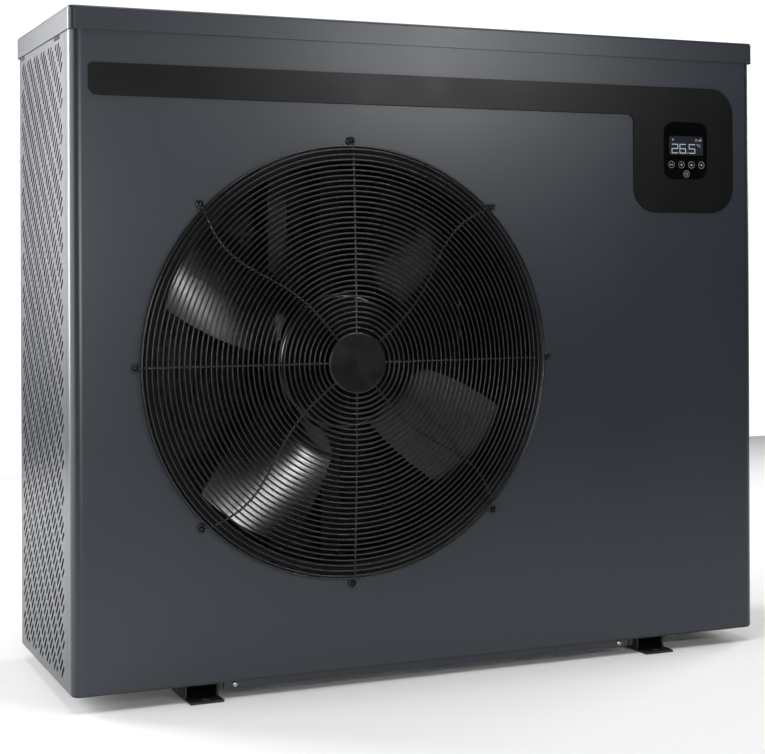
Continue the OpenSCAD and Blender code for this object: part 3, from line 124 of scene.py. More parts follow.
def surface(name, colour, second, rough, spread=0.05, metallic=0.0, wander=120.0, grain=1.0,
            relief=0.02, stretch=(1, 1, 1), detail=2.0, **shader):
    """A finish: two colours that mix over wander mm, and grains of grain mm that stand relief mm high."""
    material = bpy.data.materials.new(name)
    material.use_nodes = True
    tree = material.node_tree
    tree.nodes.clear()
    place = add(tree, "ShaderNodeTexCoord").outputs["Object"]
    drift = add(tree, "ShaderNodeTexNoise", {"Vector": place, "Scale": 1 / mm(wander), "Detail": 3.0})
    tint = add(tree, "ShaderNodeMix", {
        "Factor": drift.outputs["Fac"], first_colour: linear(colour), second_colour: linear(second)},
        data_type="RGBA")
    gloss = add(tree, "ShaderNodeMapRange", {
        "Value": drift.outputs["Fac"], "From Min": calm, "From Max": lively,
        "To Min": rough - spread, "To Max": rough + spread})
    laid = add(tree, "ShaderNodeMapping", {"Vector": place, "Scale": stretch}).outputs[0]
    fine = add(tree, "ShaderNodeTexNoise", {"Vector": laid, "Scale": 1 / mm(grain), "Detail": detail})
    bump = add(tree, "ShaderNodeBump", {
        "Height": fine.outputs["Fac"], "Strength": 1.0, "Distance": mm(relief)})
    skin = add(tree, "ShaderNodeBsdfPrincipled", {
        "Base Color": tint.outputs[mixed_colour], "Roughness": gloss.outputs[0], "Metallic": metallic,
        "Normal": bump.outputs[0], **shader})
    add(tree, "ShaderNodeOutputMaterial", {"Surface": skin.outputs[0]})
    return material


# %% [markdown]
# The casing is galvanised sheet with a polyester powder coat in anthracite. Powder melts into
# a skin that is never quite flat, and its slow ripple, the orange peel, is about two millimetres
# from crest to crest. A little metallic pigment makes it lift towards the light.
# The feet and the base pan wear a coarser black coat, and the fan guard is dipped wire.
# The brackets inside are galvanised, painted a dark grey as painted shade for the shadow inside the unit, so
# that they do not shine out through the guard.

# %% Paint on steel
finishes = {}
# a satin coat with a soft, broad highlight and a faint ripple in it
finishes["anthracite_paint"] = surface(
    "powder-coated steel, anthracite", "#282d34", "#2c3138", rough=0.32, spread=0.02, wander=260,
    grain=2.2, relief=0.012, metallic=0.1, IOR=1.5)
# a duller coat, whose sand-like grain breaks the highlight up
finishes["black_coated_steel"] = surface(
    "powder-coated steel, black", "#131416", "#1a1b1e", rough=0.42, wander=60, grain=1.1,
    relief=0.03, IOR=1.5)
# a thick wet coat that draws one thin bright line along each wire
finishes["guard_wire"] = surface(
    "dipped steel wire, black", "#050506", "#09090a", rough=0.28, spread=0.04, wander=35, grain=0.9,
    relief=0.02, IOR=1.5)
# large blotches give the metal a half dull look; its dark grey is painted shade for the shadow inside the
# unit
finishes["zinc_steel"] = surface(
    "galvanised steel, darkened as painted shade", "#2b2d2f", "#222426", rough=0.42, metallic=1.0, wander=14, grain=9,
    relief=0.02, detail=0.0)
print(len(finishes), "finishes on steel")

# %% [markdown]
# Moulded plastics keep the texture of the steel mould. The fascia is spark-eroded and matt, the
# fan is glass-filled nylon with a sheen, and the controller is polished like a piano lid.
# An index of refraction below 1.4 is lower than the real plastic's: it stands for a texture so
# deep that it swallows part of the reflection.

# %% Moulded plastics and rubber
# dull and deep, so that it reads as a shadow behind the guard
finishes["black_moulding"] = surface(
    "moulded polypropylene, black", "#08090a", "#0d0e0f", rough=0.7, wander=40, grain=0.8,
    relief=0.02, IOR=1.25)
# smooth enough for a clear highlight that follows the twist of a blade
finishes["fan_plastic"] = surface(
    "glass-filled nylon, black", "#060708", "#0a0b0c", rough=0.17, spread=0.02, wander=55, grain=1.6,
    relief=0.012, IOR=1.5)
# matt black with a weak, even reflection
finishes["fascia_plastic"] = surface(
    "spark-eroded ABS, black", "#050606", "#08090a", rough=0.32, spread=0.02, wander=50, grain=0.7,
    relief=0.035, IOR=1.3)
# nearly a mirror, black where nothing bright stands in front of it
finishes["gloss_black"] = surface(
    "polished ABS, piano black", "#050506", "#08080a", rough=0.09, spread=0.02, wander=22, grain=6,
    relief=0.004, IOR=1.42)
# a dark grey pane, a shade lighter than the housing round it
finishes["display_glass"] = surface(
    "smoked acrylic", "#23272b", "#272b30", rough=0.1, spread=0.02, wander=30, grain=8,
    relief=0.003, IOR=1.49)
# soft black without a highlight
finishes["rubber"] = surface(
    "EPDM rubber", "#161616", "#1e1d1c", rough=0.75, wander=18, grain=0.6, relief=0.03, IOR=1.5)
# the pale, silky shell of switch gear
finishes["box_plastic"] = surface(
    "moulded polycarbonate, light grey", "#b9bab5", "#c3c4bf", rough=0.4, wander=50, grain=0.9,
    relief=0.02, IOR=1.58)
# a satin skin, like that of a filter housing
finishes["vessel_plastic"] = surface(
    "moulded PVC, dark grey", "#25282b", "#2d3034", rough=0.42, wander=45, grain=1.2,
    relief=0.02, IOR=1.53)
# the plain grey of pressure pipe
finishes["pvc_grey"] = surface(
    "moulded PVC, grey", "#4a4e52", "#53575b", rough=0.35, wander=30, grain=1.0, relief=0.015, IOR=1.53)
print(len(finishes), "finishes with the plastics")

# %% [markdown]
# Bare metals keep the marks of their making: drawn copper tube tarnishes in cloudy patches,
# rolled aluminium has fine lines along the rolling direction, and plated screws stay bright.
# The fins are darker than new metal, as they are after a season in the open. The copper is darker still, as
# painted shade for the shadow inside the unit where the pipes show through the fan.

# %% Bare metals and the circuit board
# grey metal whose lines run up the fin
finishes["aluminium_fins"] = surface(
    "rolled aluminium, bare", "#6f7377", "#5e6266", rough=0.38, metallic=1.0, wander=90, grain=1.5,
    relief=0.02, stretch=(1, 1, 0.1))
# brown with cloudy darker patches, and darkened overall as painted shade
finishes["copper"] = surface(
    "drawn copper tube", "#6b4029", "#4a2d1f", rough=0.34, metallic=1.0, wander=28, grain=1.2, relief=0.01)
# a warm yellow with the fine rings of a lathe
finishes["brass"] = surface(
    "turned brass", "#b59a55", "#9d8548", rough=0.3, metallic=1.0, wander=20, grain=0.5, relief=0.01)
# small bright points along the base
finishes["chrome_screws"] = surface(
    "nickel-plated steel", "#c9cbcd", "#b9bcbf", rough=0.2, metallic=1.0, wander=6, grain=0.7, relief=0.006)
# dark heads that are seen only by the light on their rims
finishes["black_screws"] = surface(
    "black-oxide steel", "#1b1c1e", "#242527", rough=0.38, metallic=1.0, wander=6, grain=0.6, relief=0.01)
# green lacquer over a weave of glass
finishes["circuit_board"] = surface(
    "circuit board, green mask", "#1d5435", "#17472c", rough=0.35, wander=12, grain=1.4,
    relief=0.03, IOR=1.52)
missing = sorted(set(slot_of.values()) - set(finishes))
print(len(finishes), "finishes in all, slots without one:", missing)

# %% [markdown]
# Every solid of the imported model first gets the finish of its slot. What is rebuilt further down
# takes its finish from the same table, so a panel and its screws can never drift apart.

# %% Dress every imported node
for node, piece in frame["nodes"].items():
    piece.data.materials.clear()
    piece.data.materials.append(finishes[slot_of[node]])
print("dressed", len(frame["nodes"]), "nodes")

# %% [markdown]
# ## Handing a rebuilt piece to the frame
# A rebuilt piece stands for one imported node, or adds to one. It rides on that node's body, takes
# the finish of its slot, and hides the plain solid. Its object stays at the origin, so a pattern that is
# laid out in object space never slides.

# %% Make and hand over a piece
def new_piece(name, mesh):
    """An object at the origin that shows a mesh."""
    piece = bpy.data.objects.new(name, mesh)
    scene.collection.objects.link(piece)
    return piece


def hand_over(piece, node):
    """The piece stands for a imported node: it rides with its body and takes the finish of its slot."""
    slot = slot_of[node]
    piece.data.materials.clear()
    piece.data.materials.append(finishes[slot])
    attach(piece, body_of[node])
    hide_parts(node)
    print(f"{piece.name}: {len(piece.data.polygons)} faces, for {node}")
    return piece


def baked(source, name):
    """The evaluated shape of an object, as a plain object at the origin; the source is removed."""
    graph = bpy.context.evaluated_depsgraph_get()
    mesh = bpy.data.meshes.new_from_object(source.evaluated_get(graph))
    bpy.data.objects.remove(source)
    mesh.name = name
    return new_piece(name, mesh)


# %% [markdown]
# ## Softened edges
# A moulded cover or a folded bracket has no razor edges, and the thin line of light on a rounded
# edge is most of what tells the eye that a thing is real. `softened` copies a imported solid, joins
# its loose triangles, and rounds its edges with a bevel as wide as the real radius.

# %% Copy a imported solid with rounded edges
weld = mm(0.004)  # corners nearer than this are one corner
flat_enough = math.radians(0.4)  # faces that turn less than this are one face


def softened(node, radius, steps=2, corner=35.0):
    """Stands for a node: its solid, rounded by radius mm where an edge turns more than corner degrees."""
    mesh = frame["nodes"][node].data.copy()
    form = bmesh.new()
    form.from_mesh(mesh)
    bmesh.ops.remove_doubles(form, verts=form.verts, dist=weld)
    bmesh.ops.dissolve_limit(form, angle_limit=flat_enough, verts=form.verts, edges=form.edges)
    form.to_mesh(mesh)
    form.free()
    if "custom_normal" in mesh.attributes:
        mesh.attributes.remove(mesh.attributes["custom_normal"])
    mesh.shade_smooth()
    rough = new_piece(node + "_rough", mesh)
    bevel = rough.modifiers.new("rounding", "BEVEL")
    bevel.width = mm(radius)
    bevel.segments = steps
    bevel.limit_method = "ANGLE"
    bevel.angle_limit = math.radians(corner)
    bevel.use_clamp_overlap = True
    evened = rough.modifiers.new("flat faces stay flat", "WEIGHTED_NORMAL")
    evened.mode = "FACE_AREA"
    evened.weight = 100  # the largest face of a corner decides alone
    return hand_over(baked(rough, node + "_finish"), node)


# %% [markdown]
# The sheets of the casing get only a hint of rounding, as a shear leaves it. The feet, thicker,
# and the plastic pieces get the radius of their mould.

# %% Round the pieces that show
edge_radii = {
    "fascia": 0.5, "controller_housing": 0.7, "display_window": 0.25,
    "key_mode": 0.4, "key_fan": 0.4, "key_up": 0.4, "key_down": 0.4, "key_power": 0.4,
    "foot_left": 0.7, "foot_right": 0.7, "skirt_strip": 0.3, "lid_clips": 0.4,
    "union_nut_inlet": 1.0, "union_nut_outlet": 1.0, "union_tail_inlet": 0.8, "union_tail_outlet": 0.8,
    "guard_centre_disc": 0.25, "fan_nut": 0.4, "motor_bracket": 0.4, "electrical_box": 0.7,
    "accumulator": 2.0, "heat_exchanger": 1.5,
}
for node, radius in edge_radii.items():
    softened(node, radius)
print(len(edge_radii), "nodes rounded")

# %% [markdown]
# ## The fan guard
# The real guard is a spiral-looking grid of welded rings, drawn down towards its rim like a
# shallow bowl. Each ring follows one rule: its radius grows by a fixed pitch, and its height
# falls with the square of the radius. A Geometry Nodes tree says that rule once, for any number
# of rings, and a circle swept along each ring gives the wire its thickness.

# %% Running a tree and keeping its result
def new_tree(name, **inputs):
    """A Geometry Nodes tree with named inputs; returns it with its two end nodes."""
    tree = bpy.data.node_groups.new(name, "GeometryNodeTree")
    tree.interface.new_socket("Geometry", in_out="INPUT", socket_type="NodeSocketGeometry")
    tree.interface.new_socket("Geometry", in_out="OUTPUT", socket_type="NodeSocketGeometry")
    for label, kind in inputs.items():
        tree.interface.new_socket(label, in_out="INPUT", socket_type="NodeSocket" + kind)
    return tree, add(tree, "NodeGroupInput"), add(tree, "NodeGroupOutput")


def close_tree(tree, end, geometry, material, smooth=True):
    """Ends a tree in Realize Instances and Set Material."""
    whole = add(tree, "GeometryNodeRealizeInstances", {"Geometry": geometry})
    shaded = add(tree, "GeometryNodeSetShadeSmooth", {"Geometry": whole.outputs[0], "Shade Smooth": smooth})
    dressed = add(tree, "GeometryNodeSetMaterial", {"Geometry": shaded.outputs[0], "Material": material})
    tree.links.new(dressed.outputs[0], end.inputs[0])


def run_tree(tree, name, mesh, **values):
    """Runs a tree on a mesh with its inputs set, and keeps the result as a plain object."""
    source = new_piece(name + "_source", mesh)
    step = source.modifiers.new("rule", "NODES")
    step.node_group = tree
    for item in tree.interface.items_tree:
        if item.in_out == "INPUT" and item.name in values:
            step[item.identifier] = values[item.name]
    return baked(source, name)


def joined(name, pieces):
    """Several plain objects as one."""
    form = bmesh.new()
    for piece in pieces:
        form.from_mesh(piece.data)
        bpy.data.objects.remove(piece)
    mesh = bpy.data.meshes.new(name)
    form.to_mesh(mesh)
    form.free()
    mesh.shade_smooth()
    return new_piece(name, mesh)


def value_of(tree, operation, *values):
    """One step of arithmetic."""
    return add(tree, "ShaderNodeMath", dict(enumerate(values)), operation=operation).outputs[0]


def points_mesh(name, places, aims=None):
    """A mesh of loose points, with the way each one faces as the attribute aim."""
    mesh = bpy.data.meshes.new(name)
    mesh.from_pydata([tuple(p) for p in places], [], [])
    if aims:
        aim = mesh.attributes.new("aim", "FLOAT_VECTOR", "POINT")
        aim.data.foreach_set("vector", np.array([tuple(a) for a in aims], float).ravel())
    return mesh


# %% The tree that draws the rings
ring_steps, wire_sides = 144, 8
upright = (math.radians(90), 0, 0)
ring_tree, given, end = new_tree(
    "guard rings", Rings="Int", Inner="Float", Pitch="Float", Crown="Float", Edge="Float", Frame="Float",
    Wire="Float", Centre="Vector", Coat="Material")
number = add(ring_tree, "GeometryNodeInputIndex").outputs[0]
counted = value_of(ring_tree, "MULTIPLY", number, given.outputs["Pitch"])
ring_radius = value_of(ring_tree, "ADD", counted, given.outputs["Inner"])
share = value_of(ring_tree, "DIVIDE", ring_radius, given.outputs["Frame"])
fall = value_of(ring_tree, "SUBTRACT", given.outputs["Crown"], given.outputs["Edge"])
drop = value_of(ring_tree, "MULTIPLY", value_of(ring_tree, "MULTIPLY", share, share), fall)
height = value_of(ring_tree, "SUBTRACT", given.outputs["Crown"], drop)
seats = add(ring_tree, "GeometryNodeMeshLine", {"Count": given.outputs["Rings"], "Offset": (0, 0, 0)})
raised = add(ring_tree, "GeometryNodeSetPosition", {
    "Geometry": seats.outputs[0],
    "Position": add(ring_tree, "ShaderNodeCombineXYZ", {"Z": height}).outputs[0]})
one_ring = add(ring_tree, "GeometryNodeCurvePrimitiveCircle", {"Resolution": ring_steps, "Radius": 1.0})
spread_out = add(ring_tree, "ShaderNodeCombineXYZ", {"X": ring_radius, "Y": ring_radius, "Z": 1.0})
placed = add(ring_tree, "GeometryNodeInstanceOnPoints", {
    "Points": raised.outputs[0], "Instance": one_ring.outputs[0], "Scale": spread_out.outputs[0]})
lines = add(ring_tree, "GeometryNodeRealizeInstances", {"Geometry": placed.outputs[0]})
section = add(ring_tree, "GeometryNodeCurvePrimitiveCircle", {
    "Resolution": wire_sides, "Radius": given.outputs["Wire"]})
wires = add(ring_tree, "GeometryNodeCurveToMesh", {
    "Curve": lines.outputs[0], "Profile Curve": section.outputs[0]})
facing = add(ring_tree, "GeometryNodeTransform", {
    "Geometry": wires.outputs[0], "Translation": given.outputs["Centre"], "Rotation": upright})
close_tree(ring_tree, end, facing.outputs[0], given.outputs["Coat"])
print("ring tree:", len(ring_tree.nodes), "nodes")

# %% [markdown]
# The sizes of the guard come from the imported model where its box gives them: the middle of the
# fan, the face of the panel, and the radius of the rim. The wire gauges, the number of rings
# and the depth of the bowl are the same values as in the solid model.

# %% Rings of the guard
panel_low, panel_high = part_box("front_panel")
rings_low, rings_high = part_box("guard_rings")
fan_x = (rings_low.x + rings_high.x) / 2
fan_z = (rings_low.z + rings_high.z) / 2
front_y = panel_low.y
ring_count = 36
wire_r = mm(1.35)
rim_wire_r = mm(2.0)
rim_r = (rings_high.x - rings_low.x) / 2 - rim_wire_r
throat_r = rim_r - mm(19.5)
inner_ring_r = mm(42.0)
outer_ring_r = throat_r + mm(15)
ring_pitch = (outer_ring_r - inner_ring_r) / (ring_count - 1)
crown = mm(23)
edge_rise = mm(12)
rim_rise = mm(7)
guard_centre = (fan_x, front_y, fan_z)


def guard_rise(radius):
    """Height of the guard in front of the panel."""
    return crown - (crown - edge_rise) * (radius / rim_r) ** 2


coat = finishes["guard_wire"]
ring_sizes = {"Frame": rim_r, "Centre": guard_centre, "Coat": coat}
grid = run_tree(ring_tree, "ring_grid", points_mesh("seat", [(0, 0, 0)]), Rings=ring_count,
                Inner=inner_ring_r, Pitch=ring_pitch, Crown=crown, Edge=edge_rise, Wire=wire_r, **ring_sizes)
rim = run_tree(ring_tree, "ring_rim", points_mesh("seat", [(0, 0, 0)]), Rings=1, Inner=rim_r,
               Pitch=0.0, Crown=rim_rise, Edge=rim_rise, Wire=rim_wire_r, **ring_sizes)
hand_over(joined("guard_ring_wires", [grid, rim]), "guard_rings")

# %% [markdown]
# The spokes are wires too, but each one follows its own path: four run straight out from the
# middle, and the four between them swing gently sideways and back. Each ends in a bent eyelet
# round its screw. A second tree turns any set of lines into wire, and it is used again for
# the copper tubes of the coil.

# %% The tree that turns lines into wire
wire_tree, given, end = new_tree("wire along lines", Radius="Float", Sides="Int", Coat="Material")
line = add(wire_tree, "GeometryNodeMeshToCurve", {"Mesh": given.outputs["Geometry"]})
section = add(wire_tree, "GeometryNodeCurvePrimitiveCircle", {
    "Resolution": given.outputs["Sides"], "Radius": given.outputs["Radius"]})
tube = add(wire_tree, "GeometryNodeCurveToMesh", {
    "Curve": line.outputs[0], "Profile Curve": section.outputs[0], "Fill Caps": True})
close_tree(wire_tree, end, tube.outputs[0], given.outputs["Coat"])
print("wire tree:", len(wire_tree.nodes), "nodes")


def lines_mesh(name, runs):
    """A mesh of edges: each run is its points and whether it closes."""
    places, edges = [], []
    for points, closes in runs:
        first = len(places)
        places += [tuple(p) for p in points]
        edges += [(first + i, first + i + 1) for i in range(len(points) - 1)]
        if closes:
            edges.append((len(places) - 1, first))
    mesh = bpy.data.meshes.new(name)
    mesh.from_pydata(places, edges, [])
    return mesh


# %% Spokes and eyelets
eyelet_circle = throat_r + mm(27.5)
eyelet_r = mm(5.4)
spoke_r = mm(1.6)
spoke_inner_r = mm(36)
swing_span = mm(160)
swing_angle = math.radians(5)
weld_depth = mm(0.4)
spoke_drop = wire_r + spoke_r - weld_depth
eyelet_rise = spoke_r + mm(0.3)


def spoke_point(radius, angle, swings, rise):
    """A point of a spoke; a swinging one leaves its straight line in two opposite arcs."""
    if swings:
        angle += swing_angle * math.sin(math.pi * (eyelet_circle - radius) / swing_span)
    return Vector((fan_x + radius * math.cos(angle), front_y - rise, fan_z + radius * math.sin(angle)))


spoke_count, spoke_steps, spoke_sides = 8, 40, 10
eyelet_steps = 24
runs = []
for i in range(spoke_count):
    angle = 2 * math.pi * i / spoke_count
    swings = i % 2 == 1
    reach = outer_ring_r - spoke_inner_r
    radii = [spoke_inner_r + reach * k / spoke_steps for k in range(spoke_steps + 1)]
    path = [spoke_point(r, angle, swings, guard_rise(r) - spoke_drop) for r in radii]
    path.append(spoke_point(eyelet_circle - eyelet_r, angle, swings, eyelet_rise))
    runs.append((path, False))
    middle = spoke_point(eyelet_circle, angle, False, eyelet_rise)
    turns = [2 * math.pi * k / eyelet_steps for k in range(eyelet_steps)]
    runs.append(([middle + eyelet_r * Vector((math.cos(t), 0, math.sin(t))) for t in turns], True))
spokes = run_tree(wire_tree, "guard_spoke_wires", lines_mesh("spoke_lines", runs), Radius=spoke_r,
                  Sides=spoke_sides, Coat=coat)
hand_over(spokes, "guard_spokes")

# %% [markdown]
# ## The fan blades
# Four broad blades, swept like a sickle, are moulded in one piece with the hub. A blade is
# a twisted sheet: its two long edges start at different angles on the hub and end at different
# angles at the tip, and the near edge sits closer to the guard than the far edge. The same
# rule as in the solid model is laid on a much finer grid here, so the gloss runs over it
# without facets, and the thickness thins towards both edges like a wing.

# %% Blade surface
blade_count = 4
hub_low, hub_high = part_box("fan_hub")
hub_r = (hub_high.x - hub_low.x) / 2
tip_r = throat_r - mm(13)
root_r = hub_r - mm(2)
near_y = hub_low.y + mm(4)
far_y = hub_low.y + mm(54)
blade_thick = mm(2.6)
camber = mm(3)
far_angles = (122, 133)  # of the far edge, at the root and at the tip, in degrees
near_angles = (176, 163)  # of the near edge
near_cut, cut_share = 16, 0.25  # degrees cut off the near edge, over this share of the length
flatten, tip_forward = 0.35, mm(9.6)  # how much flatter the tip lies, and how far forward
edge_share = 0.35  # thickness at the edges, as a share of the middle


def blade_point(u, v, side, turn):
    """A point of a blade: u from root to tip, v from far edge to near edge, side -1 or 1."""
    far = far_angles[0] + (far_angles[1] - far_angles[0]) * u
    near = near_angles[0] + (near_angles[1] - near_angles[0]) * u
    near -= near_cut * max(0, 1 - u / cut_share) ** 2
    angle = math.radians(far + (near - far) * v + turn)
    radius = root_r + (tip_r - root_r) * u
    bow = math.sin(math.pi * v)
    thick = blade_thick * (edge_share + (1 - edge_share) * bow)
    y = far_y + (near_y - far_y) * v * (1 - flatten * u) - tip_forward * u - camber * bow + side * thick / 2
    return (fan_x + radius * math.cos(angle), y, fan_z + radius * math.sin(angle))


def blade_form(form, turn, rows=36, columns=26):
    """Two skins on a grid and the strip that joins them all round."""
    skins = []
    for side in (-1, 1):
        skins.append([[form.verts.new(blade_point(i / rows, j / columns, side, turn))
                       for j in range(columns + 1)] for i in range(rows + 1)])
    for skin, flip in zip(skins, (False, True)):
        for i in range(rows):
            for j in range(columns):
                corners = [skin[i][j], skin[i][j + 1], skin[i + 1][j + 1], skin[i + 1][j]]
                form.faces.new(corners[::-1] if flip else corners)
    rim = [(i, 0) for i in range(rows)] + [(rows, j) for j in range(columns)]
    rim += [(i, columns) for i in range(rows, 0, -1)] + [(0, j) for j in range(columns, 0, -1)]
    for (i, j), (k, m) in zip(rim, rim[1:] + rim[:1]):
        form.faces.new([skins[0][i][j], skins[0][k][m], skins[1][k][m], skins[1][i][j]])


crease = math.radians(40)  # edges that turn more than this stay sharp
form = bmesh.new()
for i in range(blade_count):
    blade_form(form, 360 * i / blade_count)
bmesh.ops.recalc_face_normals(form, faces=form.faces)
blade_mesh = bpy.data.meshes.new("fan_blade_set")
form.to_mesh(blade_mesh)
form.free()
blade_mesh.shade_smooth()
blade_mesh.set_sharp_from_angle(angle=crease)
hand_over(new_piece("fan_blade_set", blade_mesh), "fan_blades")

# %% [markdown]
# A flat black ring lies on the panel round the fan opening, from the cut edge of the sheet out between
# the outer rings of the guard. It is painted shade in the shroud's black: the shadow of the dense outer
# rings.

# %% Black ring round the fan opening, a painted shade
shade_ring_inner, shade_ring_outer = throat_r - mm(0.4), throat_r + mm(16.5)
shade_ring_y, shade_ring_back_y = front_y - mm(0.4), front_y + mm(1)
shade_ring_steps = 180
shade_ring_turns = [math.tau * k / shade_ring_steps for k in range(shade_ring_steps)]
shade_ring_section = [(shade_ring_inner, shade_ring_back_y), (shade_ring_inner, shade_ring_y), (shade_ring_outer, shade_ring_y), (shade_ring_outer, front_y)]
form = bmesh.new()
loops = []
for radius, y in shade_ring_section:
    loops.append([form.verts.new((fan_x + radius * math.cos(t), y, fan_z + radius * math.sin(t)))
                  for t in shade_ring_turns])
for one, two in zip(loops, loops[1:] + loops[:1]):
    for k in range(shade_ring_steps):
        m = (k + 1) % shade_ring_steps
        form.faces.new([one[k], one[m], two[m], two[k]])
bmesh.ops.recalc_face_normals(form, faces=form.faces)
shade_ring_mesh = bpy.data.meshes.new("shroud_lip")
form.to_mesh(shade_ring_mesh)
form.free()
shade_ring_mesh.shade_smooth()
shade_ring_mesh.set_sharp_from_angle(angle=crease)
# a black ring laid on the panel as painted shade for the shadow of the outer guard rings
shade_ring = new_piece("shroud_lip", shade_ring_mesh)
shade_ring_mesh.materials.append(finishes["black_moulding"])
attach(shade_ring, body_of["fan_shroud"])
print(f"{shade_ring.name}: {len(shade_ring_mesh.polygons)} faces")

# %% [markdown]
# ## The air coil
# Behind the left grille and the rear guard stands the coil: hundreds of thin aluminium fins,
# pressed on rows of copper tube and bent round the rear corner. The fins follow one path, so
# a tree places one thin plate every pitch along it, turned square to the path. A real fin is
# 0.12 mm thick; here it is 0.35 mm, which still shows as a fine line.

# %% The tree that places fins along a path
fin_tree, given, end = new_tree("fins along a path", Pitch="Float", Plate="Vector", Metal="Material")
line = add(fin_tree, "GeometryNodeMeshToCurve", {"Mesh": given.outputs["Geometry"]})
spaced = add(fin_tree, "GeometryNodeResampleCurve", {
    "Curve": line.outputs[0], "Length": given.outputs["Pitch"]}, mode="LENGTH")
plate = add(fin_tree, "GeometryNodeMeshCube", {"Size": given.outputs["Plate"]})
along = add(fin_tree, "GeometryNodeInputTangent")
square = add(fin_tree, "FunctionNodeAlignRotationToVector", {"Vector": along.outputs[0]}, axis="X",
             pivot_axis="Z")
set_out = add(fin_tree, "GeometryNodeInstanceOnPoints", {
    "Points": spaced.outputs[0], "Instance": plate.outputs[0], "Rotation": square.outputs[0]})
close_tree(fin_tree, end, set_out.outputs[0], given.outputs["Metal"], smooth=False)
print("fin tree:", len(fin_tree.nodes), "nodes")

# %% Fins and the tubes that run through them
coil_low, coil_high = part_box("coil_fins")
coil_depth = mm(44)
coil_bend_r = mm(60)
fin_pitch = mm(2.1)
fin_thick = mm(0.35)
fin_inset = mm(0.2)
fin_plate = (fin_thick, coil_depth - 2 * fin_inset, coil_high.z - coil_low.z)
fin_mid_z = (coil_low.z + coil_high.z) / 2


def coil_path(offset, z, end_gap=0.0, bend_steps=14):
    """The L of the coil seen from above, at a depth from its outer face."""
    middle = Vector((coil_low.x + coil_bend_r, coil_high.y - coil_bend_r, z))
    radius = coil_bend_r - offset
    turns = [math.pi - math.pi / 2 * k / bend_steps for k in range(bend_steps + 1)]
    bend = [middle + radius * Vector((math.cos(t), math.sin(t), 0)) for t in turns]
    start = Vector((coil_low.x + offset, coil_low.y + end_gap, z))
    finish = Vector((coil_high.x - end_gap, coil_high.y - offset, z))
    return [start, *bend, finish]


fin_path = lines_mesh("fin_path", [(coil_path(coil_depth / 2, fin_mid_z, end_gap=fin_thick), False)])
fins = run_tree(fin_tree, "coil_fin_pack", fin_path, Pitch=fin_pitch, Plate=fin_plate,
                Metal=finishes["aluminium_fins"])
hand_over(fins, "coil_fins")

bend_step = mm(50.8)
tube_r = mm(4.8)
tube_sides = 10
tube_gap = mm(25.4)
tube_margin = mm(30)
tube_first = coil_low.z + tube_margin
tube_rows = int((coil_high.z - coil_low.z - 2 * tube_margin) / bend_step)
row_depths = (0.25, 0.75)
tube_runs = [(coil_path(coil_depth * share, tube_first + i * bend_step + rise), False)
             for share in row_depths for i in range(tube_rows) for rise in (0.0, tube_gap)]
tubes = run_tree(wire_tree, "coil_tubes", lines_mesh("tube_lines", tube_runs), Radius=tube_r,
                 Sides=tube_sides, Coat=finishes["copper"])
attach(tubes, "root")
print(f"{tubes.name}: {len(tube_runs)} runs of tube")

# %% [markdown]
# ## Screws
# All screws of the casing are pan heads with a cross recess. One head is turned from its profile
# and the cross is cut out of it once. A tree then sets a copy on every screw place, turned to
# face the way that its panel faces.

# %% One screw head
def turned(profile, steps=28):
    """A closed form of revolution about Z: the profile runs from the axis, down the outside, to the axis."""
    form = bmesh.new()
    rings = []
    for radius, z in profile:
        if radius == 0:
            rings.append([form.verts.new((0, 0, z))])
        else:
            angles = [2 * math.pi * k / steps for k in range(steps)]
            rings.append([form.verts.new((radius * math.cos(a), radius * math.sin(a), z)) for a in angles])
    for upper, lower in zip(rings, rings[1:]):
        for k in range(steps):
            n = (k + 1) % steps
            quad = [upper[k % len(upper)], lower[k % len(lower)],
                    lower[n % len(lower)], upper[n % len(upper)]]
            form.faces.new(list(dict.fromkeys(quad)))
    bmesh.ops.recalc_face_normals(form, faces=form.faces)
    mesh = bpy.data.meshes.new("turned")
    form.to_mesh(mesh)
    form.free()
    return mesh


def cross_headed(name, radius, head):
    """A pan head with a cross recess, on a short shank; its seat is at z 0."""
    wall = 0.35  # the straight part of the head's side, as a share of its height
    slopes = [math.radians(d) for d in (18, 36, 54, 72, 90)]
    dome = [(0, head), *[(radius * math.sin(a), head * (wall + (1 - wall) * math.cos(a))) for a in slopes]]
    shank_r, shank_end = radius * 0.45, -mm(1)
    profile = [*dome, (radius, 0), (shank_r, 0), (shank_r, shank_end), (0, shank_end)]
    body = new_piece(name + "_blank", turned(profile))
    arm, slit, depth = radius * 0.62, radius * 0.17, head * 0.6
    for turn in (0, math.pi / 2):
        form = bmesh.new()
        bmesh.ops.create_cube(form, size=2.0)
        form.transform(Matrix.Translation((0, 0, head)) @ Matrix.Rotation(turn, 4, "Z")
                       @ Matrix.Diagonal((arm, slit, depth, 1)))
        cutter_mesh = bpy.data.meshes.new("recess")
        form.to_mesh(cutter_mesh)
        form.free()
        cutter = new_piece("recess", cutter_mesh)
        cut = body.modifiers.new("recess", "BOOLEAN")
        cut.operation = "DIFFERENCE"
        cut.object = cutter
        cut.solver = "EXACT"
    head_piece = baked(body, name)
    for piece in [o for o in scene.objects if o.name.startswith("recess")]:
        bpy.data.objects.remove(piece)
    head_piece.data.shade_smooth()
    head_piece.data.set_sharp_from_angle(angle=math.radians(35))
    return head_piece


